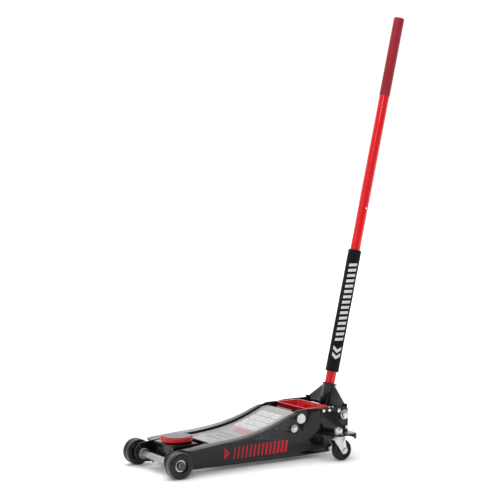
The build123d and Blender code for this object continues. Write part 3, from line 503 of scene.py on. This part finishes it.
def arc(centre, radius, start, end, count=6):
    """Points of an arc in a profile, angles in degrees from the radius direction towards the axis direction."""
    angles = [radians(start + (end - start) * k / count) for k in range(count + 1)]
    return [(centre[0] + radius * cos(a), centre[1] + radius * sin(a)) for a in angles]


# %% Front wheels: a cast roller with rounded shoulders and a recessed hub
def middle_of(node_name):
    """The centre of a node's box."""
    low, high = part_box(node_name)
    return (low + high) / 2


for side, sign in (("left", -1), ("right", 1)):
    low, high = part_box(f"front_wheel_{side}")
    radius = (high.z - low.z) / 2
    width = high.y - low.y
    bore = 0.01005
    shoulder = 0.006
    recess_r = 0.0195
    recess = 0.010
    rim = [(bore, 0.0), (radius - 0.010, 0.0), (radius - 0.0085, 0.0012)]
    rim += arc((radius - shoulder, shoulder + 0.0005), shoulder, -70, 0)
    rim += [(radius, width * 0.33), (radius - 0.0006, width * 0.36), (radius, width * 0.39)]
    rim += arc((radius - shoulder - 0.001, width - shoulder - 0.001), shoulder + 0.001, 0, 90, 8)
    rim += [(radius - 0.010, width), (radius - 0.0108, width - 0.0010), (radius - 0.0125, width - 0.0012)]
    rim += [(radius - 0.0133, width - 0.0002)]
    rim += arc((recess_r + 0.0022, width - 0.0018), 0.0016, 90, 180, 4)
    rim += [(recess_r - 0.0006, width - recess + 0.001), (recess_r - 0.0014, width - recess), (bore, width - recess)]
    hub = middle_of(f"front_wheel_{side}")
    inner = Vector((hub.x, low.y if sign > 0 else high.y, hub.z))
    wheel = link(f"roller_{side}", lathe(f"roller_{side}", rim, inner, (0, sign, 0)),
                 f"front_wheel_{side}", "wheel_nylon")
    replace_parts(wheel, f"front_wheel_{side}")

    ring_r = recess_r - 0.0016
    ring = arc((ring_r - 0.0012, 0), 0.0012, -90, 90, 6) + [(ring_r - 0.004, 0.0012), (ring_r - 0.004, -0.0012)]
    at = Vector((hub.x, hub.y + sign * (width / 2 - recess + 0.0015), hub.z))
    link(f"hub_ring_{side}", lathe(f"hub_ring_{side}", ring, at, (0, sign, 0)),
         f"front_wheel_{side}", "zinc_plate")
print("front wheels", round(radius * 2000, 1), "mm across")

# %% Caster wheels: a nylon tyre on a moulded hub
for side, sign in (("left", -1), ("right", 1)):
    low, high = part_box(f"caster_wheel_{side}")
    radius = (high.z - low.z) / 2
    half = (high.y - low.y) / 2
    bore = 0.00405
    tyre = arc((radius - 0.007, half - 0.007), 0.007, 0, 90, 8)
    tyre += [(radius - 0.0085, half), (radius - 0.0092, half - 0.0018), (radius - 0.012, half - 0.003)]
    tyre += [(0.0145, half - 0.003), (0.0135, half - 0.0012), (0.0085, half - 0.0006), (bore, half - 0.0006)]
    other = [(r, -h) for r, h in reversed(tyre)]
    caster = link(f"caster_tyre_{side}",
                  lathe(f"caster_tyre_{side}", tyre + other, middle_of(f"caster_wheel_{side}"), (0, sign, 0)),
                  f"caster_wheel_{side}", "caster_nylon")
    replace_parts(caster, f"caster_wheel_{side}")

# %% [markdown]
# ## The handle
# Two lengths of tube, a foam sleeve that keeps the handle off paintwork, and a textured grip.
# Everything on it is turned about the handle's own axis, which leans back from the yoke's pivot.

# %% The handle's axis and tubes
pivot = Vector(joint["handle_twist"]["pos_m"])
along_handle = Vector(joint["handle_twist"]["axis"]).normalized()
HANDLE_R = 0.0155
lean_cos = along_handle.z


def span_up(node_name, radius):
    """How far up the handle a round node starts and ends, from the yoke's pivot."""
    low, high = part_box(node_name)
    edge = radius * along_handle.x
    return (low.z - pivot.z + edge) / lean_cos, (high.z - pivot.z - edge) / lean_cos


def handle_piece(name, profile, node_name, slot):
    """A turned piece on the handle's axis that stands for a node; heights are from the pivot."""
    piece = link(name, lathe(name, profile, pivot, along_handle), "handle", slot)
    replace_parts(piece, node_name)
    return piece


WALL = 0.0018
low, high = span_up("handle_lower_tube", HANDLE_R)
tube = [(HANDLE_R - WALL, low), (HANDLE_R - 0.0004, low), (HANDLE_R, low + 0.0004), (HANDLE_R, high - 0.0006)]
tube += [(HANDLE_R - 0.0006, high), (HANDLE_R - WALL, high)]
handle_piece("lower_tube", tube, "handle_lower_tube", "red_enamel")
joint_at = high
_, top = span_up("handle_upper_tube", HANDLE_R)
NECK = 0.069
tube = [(HANDLE_R - WALL - 0.0001, joint_at - NECK), (HANDLE_R - WALL - 0.0001, joint_at + 0.0002)]
tube += [(HANDLE_R - 0.0006, joint_at + 0.0002), (HANDLE_R, joint_at + 0.0008), (HANDLE_R, top)]
tube += [(HANDLE_R - WALL, top), (HANDLE_R - 2 * WALL, joint_at - NECK)]
handle_piece("upper_tube", tube, "handle_upper_tube", "red_enamel")
print("handle joint", round(joint_at, 3), "m up")

# %% Foam sleeve: soft round ends and a skin that is never quite straight
FOAM_R = 0.0208
low, high = span_up("foam_sleeve", FOAM_R)
ROUND_END = 0.0035
skin = [(HANDLE_R + 0.0001, low)] + arc((FOAM_R - ROUND_END, low + ROUND_END), ROUND_END, -90, 0)
count = 60
for k in range(1, count):
    t = k / count
    ripple = 0.00018 * sin(t * 23.0) + 0.00012 * sin(t * 61.0 + 1.0) - 0.0003
    skin.append((FOAM_R + ripple, low + ROUND_END + (high - low - 2 * ROUND_END) * t))
skin += arc((FOAM_R - ROUND_END, high - ROUND_END), ROUND_END, 0, 90) + [(HANDLE_R + 0.0001, high)]
foam = handle_piece("foam_grip_sleeve", skin, "foam_sleeve", "black_foam")
foam_low, foam_high = low, high

# %% Hand grip and end cap
GRIP_R = HANDLE_R + 0.0008
low, high = span_up("hand_grip", GRIP_R)
grip = [(HANDLE_R + 0.00005, low), (GRIP_R - 0.0003, low), (GRIP_R, low + 0.0006), (GRIP_R, high)]
grip += [(HANDLE_R + 0.00005, high)]
handle_piece("grip_coat", grip, "hand_grip", "crimson_grip")
cap = [(0, high), (GRIP_R, high), (GRIP_R, high + 0.0018)]
cap += arc((GRIP_R - 0.002, high + 0.002), 0.002, 0, 90) + [(0.006, high + 0.004), (0, high + 0.0036)]
handle_piece("end_cap", cap, "handle_cap", "crimson_grip")

# %% [markdown]
# ### Knurling
# The grip's texture is rows of fine rings. Geometry Nodes repeat one ring along the handle, which keeps
# pitch and count as inputs; the rings are then moved onto the leaning axis.

# %% Helpers for Geometry Nodes
def geometry_tree(name, inputs):
    """A Geometry Nodes tree with named inputs and one geometry output."""
    tree = bpy.data.node_groups.new(name, "GeometryNodeTree")
    tree.interface.new_socket("Geometry", in_out="OUTPUT", socket_type="NodeSocketGeometry")
    for label, kind, value in inputs:
        socket = tree.interface.new_socket(label, in_out="INPUT", socket_type=kind)
        if value is not None:
            socket.default_value = value
    return tree, tree.nodes.new("NodeGroupInput").outputs, tree.nodes.new("NodeGroupOutput").inputs


def grow(name, tree, values, place):
    """Runs a Geometry Nodes tree once and returns its result as a plain mesh, moved by place."""
    seed = in_scene(name + "_seed", bpy.data.meshes.new(name + "_seed"))
    modifier = seed.modifiers.new("grow", "NODES")
    modifier.node_group = tree
    for item in tree.interface.items_tree:
        if item.in_out == "INPUT" and item.name in values:
            modifier[item.identifier] = values[item.name]
    mesh = settled_mesh(seed)
    bpy.data.objects.remove(seed)
    mesh.transform(place)
    mesh.name = name
    return mesh


def row_of(tree, inputs, axis, item):
    """Repeats an item along an axis; the tree's Count and Pitch say how often and how far apart."""
    row = tree.nodes.new("GeometryNodeMeshLine")
    step = tree.nodes.new("ShaderNodeCombineXYZ")
    wire(tree, inputs["Pitch"], step.inputs[axis])
    wire(tree, inputs["Count"], row.inputs["Count"])
    wire(tree, step.outputs[0], row.inputs["Offset"])
    repeat = tree.nodes.new("GeometryNodeInstanceOnPoints")
    wire(tree, row.outputs["Mesh"], repeat.inputs["Points"])
    wire(tree, item, repeat.inputs["Instance"])
    return repeat.outputs["Instances"]


def round_wire(tree, path, radius, corners, caps):
    """Sweeps a circle of so many corners along a path."""
    section = tree.nodes.new("GeometryNodeCurvePrimitiveCircle")
    section.inputs["Resolution"].default_value = corners
    wire(tree, radius, section.inputs["Radius"])
    swept = tree.nodes.new("GeometryNodeCurveToMesh")
    swept.inputs["Fill Caps"].default_value = caps
    wire(tree, path, swept.inputs["Curve"])
    wire(tree, section.outputs["Curve"], swept.inputs["Profile Curve"])
    return swept.outputs["Mesh"]


def end_tree(tree, geometry, inputs, output):
    """Makes instances real, sets the tree's Material and ends the tree."""
    real = tree.nodes.new("GeometryNodeRealizeInstances")
    wire(tree, geometry, real.inputs["Geometry"])
    dress = tree.nodes.new("GeometryNodeSetMaterial")
    wire(tree, real.outputs["Geometry"], dress.inputs["Geometry"])
    wire(tree, inputs["Material"], dress.inputs["Material"])
    wire(tree, dress.outputs["Geometry"], output["Geometry"])


# %% Ring rows on the grip
rings, r_in, r_out = geometry_tree("ring_row", [
    ("Count", "NodeSocketInt", 60), ("Pitch", "NodeSocketFloat", 0.004),
    ("Ring Radius", "NodeSocketFloat", 0.016), ("Bead", "NodeSocketFloat", 0.0004),
    ("Material", "NodeSocketMaterial", None)])
circle = rings.nodes.new("GeometryNodeCurvePrimitiveCircle")
circle.inputs["Resolution"].default_value = 64
wire(rings, r_in["Ring Radius"], circle.inputs["Radius"])
hoop = round_wire(rings, circle.outputs["Curve"], r_in["Bead"], 6, False)
end_tree(rings, row_of(rings, r_in, "Z", hoop), r_in, r_out)

PITCH = 0.0032
upright = Vector((0, 0, 1)).rotation_difference(along_handle).to_matrix().to_4x4()
INSET = 0.004
ring_count = int((high - low - 2 * INSET) / PITCH)
start = Matrix.Translation(pivot + along_handle * (low + INSET)) @ upright
beads = grow("grip_rings", rings, {
    "Count": ring_count, "Pitch": PITCH, "Ring Radius": GRIP_R - 0.0001,
    "Bead": 0.00035, "Material": crimson_grip}, start)
link("grip_rings", beads, "handle", "crimson_grip")
print("grip rings", ring_count)

# %% [markdown]
# ## Springs
# A real return spring is a close coil with a hook at each end. The frame only holds its outer size, so the coil is
# grown here: a spiral gives the path, a circle the wire.

# %% The coil tree
coil, c_in, c_out = geometry_tree("coil_spring", [
    ("Turns", "NodeSocketFloat", 12.0), ("Coil Radius", "NodeSocketFloat", 0.005),
    ("Wire Radius", "NodeSocketFloat", 0.0008), ("Length", "NodeSocketFloat", 0.04),
    ("Material", "NodeSocketMaterial", None)])
helix = coil.nodes.new("GeometryNodeCurveSpiral")
helix.inputs["Resolution"].default_value = 20
wire(coil, c_in["Turns"], helix.inputs["Rotations"])
wire(coil, c_in["Coil Radius"], helix.inputs["Start Radius"])
wire(coil, c_in["Coil Radius"], helix.inputs["End Radius"])
wire(coil, c_in["Length"], helix.inputs["Height"])
coil_mesh = round_wire(coil, helix.outputs["Curve"], c_in["Wire Radius"], 10, True)
end_tree(coil, coil_mesh, c_in, c_out)
WIRE_R = 0.0009


def spring_piece(name, low, high, y, turns):
    """A coil along x from low.x to high.x, at y, with so many turns."""
    outer = (high.z - low.z) / 2
    mid_z = (low.z + high.z) / 2
    place = Matrix.Translation((low.x + WIRE_R, y, mid_z)) @ Matrix.Rotation(pi / 2, 4, "Y")
    mesh = grow(name, coil, {"Turns": turns, "Coil Radius": outer - WIRE_R, "Wire Radius": WIRE_R,
                             "Length": high.x - low.x - 2 * WIRE_R, "Material": bare_steel}, place)
    smooth(mesh)
    piece = in_scene(name, mesh)
    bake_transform(piece)
    return piece


# %% Return springs, between the ram head and the cradle
low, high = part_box("return_springs")
outer = (high.z - low.z) / 2
left_spring, _ = [spring_piece(f"return_spring_{side}", low, high, y, 16.0)
                  for side, y in (("left", low.y + outer), ("right", high.y - outer))]
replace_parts(left_spring, "return_springs")

# %% The pump plunger's spring
low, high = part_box("plunger_spring")
plunger_coil = spring_piece("plunger_coil", low, high, 0.0, 7.0)
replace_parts(plunger_coil, "plunger_spring")

# %% [markdown]
# ## Saddle
# The saddle is a turned cup in red powder coat. Its rubber pad has diagonal ribs, cut to the
# circle of the cup; Geometry Nodes repeat one soft-edged rib and a boolean trims them to the round.

# %% The cup
low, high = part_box("saddle_cup")
axis_x = joint["saddle_swivel"]["pos_m"][0]
CUP_R = (high.y - low.y) / 2
pad_low, pad_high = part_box("saddle_pad")
CUP_WALL = CUP_R - (pad_high.y - pad_low.y) / 2
post_r = 0.014
floor_z = pad_low.z
foot = floor_z - 0.005
bracket_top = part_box("saddle_bracket")[1].z
cup = [(0, low.z), (post_r - 0.001, low.z), (post_r, low.z + 0.001), (post_r, bracket_top + 0.0005)]
cup += [(post_r + 0.012, bracket_top + 0.0005), (post_r + 0.014, foot), (CUP_R - 0.0055, foot)]
cup += arc((CUP_R - 0.004, foot + 0.004), 0.004, -70, 0)
cup += [(CUP_R - 0.0009, foot + 0.0052), (CUP_R - 0.0009, foot + 0.0062), (CUP_R, foot + 0.0068)]
cup += arc((CUP_R - 0.0012, high.z - 0.0012), 0.0012, 0, 90, 5)
cup += arc((CUP_R - CUP_WALL + 0.001, high.z - 0.001), 0.001, 90, 180, 4)
cup += [(CUP_R - CUP_WALL, floor_z), (0, floor_z)]
cup_mesh = lathe("saddle_cup_turned", cup, (axis_x, 0, 0), (0, 0, 1), 128)
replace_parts(link("saddle_cup_turned", cup_mesh, "saddle", "red_saddle"), "saddle_cup")

# %% The ribs tree
ribs, b_in, b_out = geometry_tree("rib_row", [
    ("Count", "NodeSocketInt", 11), ("Pitch", "NodeSocketFloat", 0.008), ("Width", "NodeSocketFloat", 0.0046),
    ("Length", "NodeSocketFloat", 0.1), ("Height", "NodeSocketFloat", 0.004),
    ("Material", "NodeSocketMaterial", None)])
size = ribs.nodes.new("ShaderNodeCombineXYZ")
for label, axis_name in (("Length", "X"), ("Width", "Y"), ("Height", "Z")):
    wire(ribs, b_in[label], size.inputs[axis_name])
block = ribs.nodes.new("GeometryNodeMeshCube")
wire(ribs, size.outputs[0], block.inputs["Size"])
end_tree(ribs, row_of(ribs, b_in, "Y", block.outputs["Mesh"]), b_in, b_out)

# %% The pad: a disc with ribs trimmed to it
RIB_PITCH = 0.008
RIB_WIDTH = 0.0046
RIB_COUNT = 11
pad_r = (pad_high.y - pad_low.y) / 2 - 0.0002
rib_foot = pad_high.z - 0.003
base = [(0, floor_z + 0.0001), (pad_r, floor_z + 0.0001), (pad_r, rib_foot - 0.0008)]
base += arc((pad_r - 0.0008, rib_foot - 0.0008), 0.0008, 0, 90, 4) + [(0, rib_foot)]
link("pad_base", lathe("pad_base", base, (axis_x, 0, 0), (0, 0, 1)), "saddle", "saddle_rubber")

# top_colour paints the rib tops pale grey, a painted highlight; the rib walls keep the rubber's own black
rib_rubber = finish("rib_rubber", (0.006, 0.006, 0.006), (0.6, 0.75), shade=0.8, grain_scale=900,
                    grain_strength=0.2, specular=0.12, top_colour=(0.50, 0.48, 0.48))
centre = Matrix.Translation((axis_x, 0, 0)) @ Matrix.Rotation(pi / 4, 4, "Z")
lift_to = Matrix.Translation((0, -RIB_PITCH * (RIB_COUNT - 1) / 2, (rib_foot + pad_high.z) / 2 - 0.0002))
rib_mesh = grow("rib_blocks", ribs, {
    "Count": RIB_COUNT, "Pitch": RIB_PITCH, "Width": RIB_WIDTH, "Length": 2 * CUP_R,
    "Height": pad_high.z - rib_foot + 0.0004, "Material": rib_rubber}, centre @ lift_to)
disc = [(0, rib_foot - 0.002), (pad_r - 0.0003, rib_foot - 0.002), (pad_r - 0.0003, pad_high.z + 0.002),
        (0, pad_high.z + 0.002)]
cutter = in_scene("pad_round", lathe("pad_round", disc, (axis_x, 0, 0), (0, 0, 1)))
blocks = in_scene("rib_blocks", rib_mesh)
trim = blocks.modifiers.new("trim", "BOOLEAN")
trim.operation = "INTERSECT"
trim.object = cutter
trim.solver = "EXACT"
soften = blocks.modifiers.new("soften", "BEVEL")
soften.width = 0.0005
soften.segments = 2
soften.limit_method = "ANGLE"
soften.angle_limit = radians(50)
rib_result = settled_mesh(blocks)
for item in (cutter, blocks):
    bpy.data.objects.remove(item)
rib_result.name = "pad_ribs"
rib_result.materials.clear()
rib_result.materials.append(rib_rubber)
rib_piece = link("pad_ribs", rib_result, "saddle", "saddle_rubber")
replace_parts(rib_piece, "saddle_pad")
print("pad ribs", RIB_COUNT, "top", round(max(v.co.z for v in rib_result.vertices), 4))

# %% [markdown]
# ## Printed marks
# The cover carries a printed table of plain boxes and the side plate a bold red graphic. Both are thin
# ink films that follow the steel, so each is a fine sheet laid onto the surface below it. The
# marks are plain bars and arrows, with no lettering.

# %% Helpers for printing
def surface_tree(piece):
    """A tree for finding points on a finished piece's surface."""
    shape = bmesh.new()
    shape.from_mesh(piece.data)
    tree = BVHTree.FromBMesh(shape)
    shape.free()
    return tree


INK_THICK = 0.00012
PRINT_LIFT = 0.00008


def laid_on(name, outline, tree, ray_start, ray_dir, raise_by, cells, material):
    """A printed shape: outline(u, v) gives a point for u, v in 0..1, dropped onto the surface and raised."""
    shape = bmesh.new()
    grid = []
    for i in range(cells[0] + 1):
        line = []
        for j in range(cells[1] + 1):
            point = outline(i / cells[0], j / cells[1])
            hit = tree.ray_cast(ray_start(point), ray_dir)[0]
            line.append(shape.verts.new(hit - Vector(ray_dir) * raise_by))
        grid.append(line)
    for i in range(cells[0]):
        for j in range(cells[1]):
            shape.faces.new([grid[i][j], grid[i + 1][j], grid[i + 1][j + 1], grid[i][j + 1]])
    shape.normal_update()
    first = next(iter(shape.faces))
    if first.normal.dot(Vector(ray_dir)) > 0:
        bmesh.ops.reverse_faces(shape, faces=shape.faces)
    below = bmesh.ops.extrude_face_region(shape, geom=list(shape.faces))
    moved = [item for item in below["geom"] if isinstance(item, bmesh.types.BMVert)]
    bmesh.ops.translate(shape, verts=moved, vec=-Vector(ray_dir) * INK_THICK)
    bmesh.ops.recalc_face_normals(shape, faces=shape.faces)
    mesh = from_bmesh(shape, name)
    mesh.materials.append(material)
    return mesh


def join_meshes(name, meshes, body, slot):
    """Several meshes with one material as one piece."""
    shape = bmesh.new()
    for mesh in meshes:
        shape.from_mesh(mesh)
    joined = from_bmesh(shape, name)
    joined.materials.append(meshes[0].materials[0])
    return link(name, joined, body, slot)


# %% The table of boxes on the arm cover
cover_tree = surface_tree(finished["arm_cover"])
DOWN = (0, 0, -1)


def from_above(point):
    """A place above the cover to drop a point from."""
    return Vector((point[0], point[1], 0.4))


def cover_patch(name, x0, x1, y0, y1, material, cells, raise_by=PRINT_LIFT):
    """A printed rectangle on the cover, between two distances along it and two across."""
    def outline(u, v):
        return (x0 + (x1 - x0) * u, y0 + (y1 - y0) * v)
    return laid_on(name, outline, cover_tree, from_above, DOWN, raise_by, cells, material)


BOX_ROWS = 4
BOX_COLUMNS = 3
TABLE_X = (0.296, 0.404)
TABLE_Y = (-0.060, 0.060)
GAP = 0.005
row_step = (TABLE_X[1] - TABLE_X[0]) / BOX_ROWS
column_step = (TABLE_Y[1] - TABLE_Y[0]) / BOX_COLUMNS
boxes = []
inks = []
for r in range(BOX_ROWS):
    for c in range(BOX_COLUMNS):
        x0 = TABLE_X[0] + r * row_step
        y0 = TABLE_Y[0] + c * column_step
        boxes.append(cover_patch("box", x0 + GAP / 2, x0 + row_step - GAP / 2, y0 + GAP / 2,
                                 y0 + column_step - GAP / 2, white_print, cells=(6, 3)))
        for k in range(3):
            bar_y = y0 + 0.009 + 0.008 * k
            reach = row_step * (0.62 - 0.14 * ((r + c + k) % 3))
            inks.append(cover_patch("ink", x0 + 0.006, x0 + 0.006 + reach, bar_y, bar_y + 0.0022,
                                    grey_print, raise_by=0.0002, cells=(5, 1)))
join_meshes("cover_table", boxes, "lift_arm", "grey_enamel")
join_meshes("cover_table_lines", inks, "lift_arm", "grey_enamel")
band = [cover_patch("band", 0.262, 0.290, -0.062, 0.010, faded_red, cells=(6, 6))]
join_meshes("cover_band", band, "lift_arm", "grey_enamel")
faint = [cover_patch("faint", 0.185 + 0.022 * k, 0.193 + 0.022 * k, -0.05, 0.035 - 0.02 * (k % 2), grey_print,
                     cells=(3, 6)) for k in range(3)]
join_meshes("cover_faint_marks", faint, "lift_arm", "grey_enamel")
print("boxes", len(boxes))

# %% The side graphic: an arrow head and a row of slanted bars
SIDE_GRAPHIC = (0.176, 0.400)
BASE_Z = (0.0275, 0.0300)
HEIGHT = 0.036
BAR_LEAN = 0.006
plate_trees = {side: surface_tree(finished[f"side_plate_{side}"]) for side in ("left", "right")}
for side, sign in (("left", -1), ("right", 1)):
    def from_outside(point, sign=sign):
        return Vector((point[0], sign * 0.3, point[1]))

    def slanted(x0, x1, z0):
        """A bar that leans with the graphic."""
        def outline(u, v):
            return (x0 + (x1 - x0) * u + BAR_LEAN * v, z0 + HEIGHT * v)
        return outline

    def print_on_side(outline, cells):
        return laid_on("print", outline, plate_trees[side], from_outside, (0, -sign, 0), PRINT_LIFT, cells, red_print)

    def arrow(u, v):
        """A triangle whose point faces back along the jack."""
        return (SIDE_GRAPHIC[0] + 0.018 * u, 0.047 + (v - 0.5) * HEIGHT * 1.05 * (1 - 0.98 * u))

    marks = [print_on_side(arrow, (8, 4))]
    bars = 14
    start = SIDE_GRAPHIC[0] + 0.030
    pitch = (SIDE_GRAPHIC[1] - start) / bars
    for k in range(bars):
        x0 = start + pitch * k
        z0 = BASE_Z[0] + (BASE_Z[1] - BASE_Z[0]) * k / bars
        marks.append(print_on_side(slanted(x0, x0 + pitch * (0.30 + 0.38 * k / bars), z0), (2, 1)))
    join_meshes(f"side_graphic_{side}", marks, "chassis", "black_enamel")

# %% Marks on the foam sleeve: white chevrons and bars printed round it
def foam_patch(outline, cells):
    """A printed shape on the sleeve: outline(u, v) gives (angle, distance up the handle)."""
    shape = bmesh.new()
    side_dir = Vector((0, -1, 0))
    other = along_handle.cross(side_dir)
    layers = []
    for lift in (0.00006, 0.0002):
        grid = []
        for i in range(cells[0] + 1):
            line = []
            for j in range(cells[1] + 1):
                angle, up_by = outline(i / cells[0], j / cells[1])
                out = side_dir * cos(angle) + other * sin(angle)
                line.append(shape.verts.new(pivot + along_handle * up_by + out * (FOAM_R + lift)))
            grid.append(line)
        layers.append(grid)
    for grid in layers:
        for i in range(cells[0]):
            for j in range(cells[1]):
                shape.faces.new([grid[i][j], grid[i + 1][j], grid[i + 1][j + 1], grid[i][j + 1]])
    inner, outer_grid = layers
    rim = [(i, 0) for i in range(cells[0])] + [(cells[0], j) for j in range(cells[1])]
    rim += [(i, cells[1]) for i in range(cells[0], 0, -1)] + [(0, j) for j in range(cells[1], 0, -1)]
    for (a, b), (c, d) in zip(rim, rim[1:] + rim[:1]):
        shape.faces.new([inner[a][b], inner[c][d], outer_grid[c][d], outer_grid[a][b]])
    bmesh.ops.recalc_face_normals(shape, faces=shape.faces)
    mesh = from_bmesh(shape, "foam_print")
    mesh.materials.append(white_print)
    return mesh


FACE_ANGLE = -0.45
foam_length = foam_high - foam_low
prints = []
base = foam_low + 0.10 * foam_length
for k in range(2):
    def chevron(u, v, k=k):
        across = (u - 0.5) * 1.3
        return (FACE_ANGLE + across, base + 0.020 * k + 0.011 * v + 0.011 * abs(across) / 0.65)
    prints.append(foam_patch(chevron, (20, 2)))
bars = 15
first = base + 0.056
pitch = (foam_high - 0.10 * foam_length - first) / bars
for k in range(bars):
    def cross_bar(u, v, k=k):
        return (FACE_ANGLE + (u - 0.5) * 1.25, first + pitch * (k + 0.52 * v) + 0.006 * u)
    prints.append(foam_patch(cross_bar, (16, 1)))
join_meshes("foam_marks", prints, "handle", "black_foam")

# %% Beads: welds and folds that follow a line
BEAD_SIDES = 12


def bead_along(name, points, radius, body, swell=0.0):
    """A round bead along points, drawn in to nothing at both ends; swell makes its surface uneven."""
    shape = bmesh.new()
    rings = []
    for k, point in enumerate(points):
        ahead = points[min(k + 1, len(points) - 1)] - points[max(k - 1, 0)]
        turn = Vector((0, 0, 1)).rotation_difference(ahead.normalized()).to_matrix()
        near_end = min(k, len(points) - 1 - k) / 3
        size = radius * (1 + swell * sin(2.4 * k)) * min(1.0, 0.15 + near_end)
        angles = [2 * pi * n / BEAD_SIDES for n in range(BEAD_SIDES)]
        rings.append([shape.verts.new(point + turn @ Vector((size * cos(a), size * sin(a), 0))) for a in angles])
    for first, second in zip(rings, rings[1:]):
        for n in range(BEAD_SIDES):
            after = (n + 1) % BEAD_SIDES
            shape.faces.new((first[n], first[after], second[after], second[n]))
    shape.faces.new(list(reversed(rings[0])))
    shape.faces.new(rings[-1])
    bmesh.ops.recalc_face_normals(shape, faces=shape.faces)
    mesh = from_bmesh(shape, name)
    smooth(mesh)
    link(name, mesh, body, "black_enamel")


def along_line(start, end, count):
    """Evenly spaced points from start to end."""
    return [start.lerp(end, k / (count - 1)) for k in range(count)]


# %% Welds between the yoke's web and its socket
SOCKET_R = 0.0193
WEB_HALF = 0.0025
rearward = Vector((along_handle.z, 0, -along_handle.x))
for side, sign in (("left", -1), ("right", 1)):
    for face, way in (("front", -1), ("rear", 1)):
        off = Vector((0, sign * SOCKET_R, 0)) + rearward * way * WEB_HALF
        line = along_line(pivot + along_handle * 0.026 + off, pivot + along_handle * 0.074 + off, 40)
        bead_along(f"web_weld_{side}_{face}", line, 0.0014, "yoke", swell=0.10)

# %% The rolled fold at the foot of each side plate's pressed-out half
FOOT_R = 0.0042
for side, sign in (("left", -1), ("right", 1)):
    outside = along_line(Vector((0.4445, sign * 0.3, 0.0435)), Vector((0.5015, sign * 0.3, 0.0745)), 30)
    fold = [plate_trees[side].ray_cast(point, Vector((0, -sign, 0)))[0] for point in outside]
    bead_along(f"plate_fold_{side}", fold, 0.0017, "chassis")
    knob = arc((0, 0), FOOT_R, 0, 88, 8) + [(0, FOOT_R)]
    dome = lathe("fold_foot", knob, fold[1], (0, sign, 0), 32)
    link(f"fold_foot_{side}", dome, "chassis", "black_enamel")

# %% Turned small parts
low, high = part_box("lift_pivot_shaft")
shaft_r = (high.z - low.z) / 2
centre = (low + high) / 2
near, far = low.y - centre.y, high.y - centre.y
shaft = [(0, near), (shaft_r - 0.0016, near), (shaft_r, near + 0.0014)]
shaft += [(shaft_r, far - 0.0014), (shaft_r - 0.0016, far), (0, far)]
piece = link("pivot_shaft", lathe("pivot_shaft", shaft, centre, (0, 1, 0)), "chassis", "zinc_plate")
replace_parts(piece, "lift_pivot_shaft")

low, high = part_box("front_axle")
axle_z = (low.z + high.z) / 2
for side, sign in (("left", -1), ("right", 1)):
    at = Vector(((low.x + high.x) / 2, high.y if sign > 0 else low.y, axle_z))
    cap = [(0, -0.0008), (0.0088, -0.0008), (0.0094, -0.0002), (0.0092, 0.0006), (0.006, 0.0012), (0, 0.0014)]
    mesh = lathe("axle_end_cap", cap, at, (0, sign, 0), 48)
    mesh.materials.append(dark_steel)
    link(f"axle_end_cap_{side}", mesh, "chassis", "bare_steel")
red_cap = finish("red_cap", (0.7, 0.02, 0.03), (0.3, 0.4), shade=0.9)
plug = [(0, -0.017), (0.0022, -0.017), (0.0034, -0.0155), (0.0034, -0.0125), (0.0042, -0.012), (0.0042, -0.0085),
        (0, -0.0085)]
mesh = lathe("axle_plug", plug, (0.0, 0.024, axle_z), (0, 0, 1), 32)
mesh.materials.append(red_cap)
link("axle_plug", mesh, "chassis", "red_plastic")
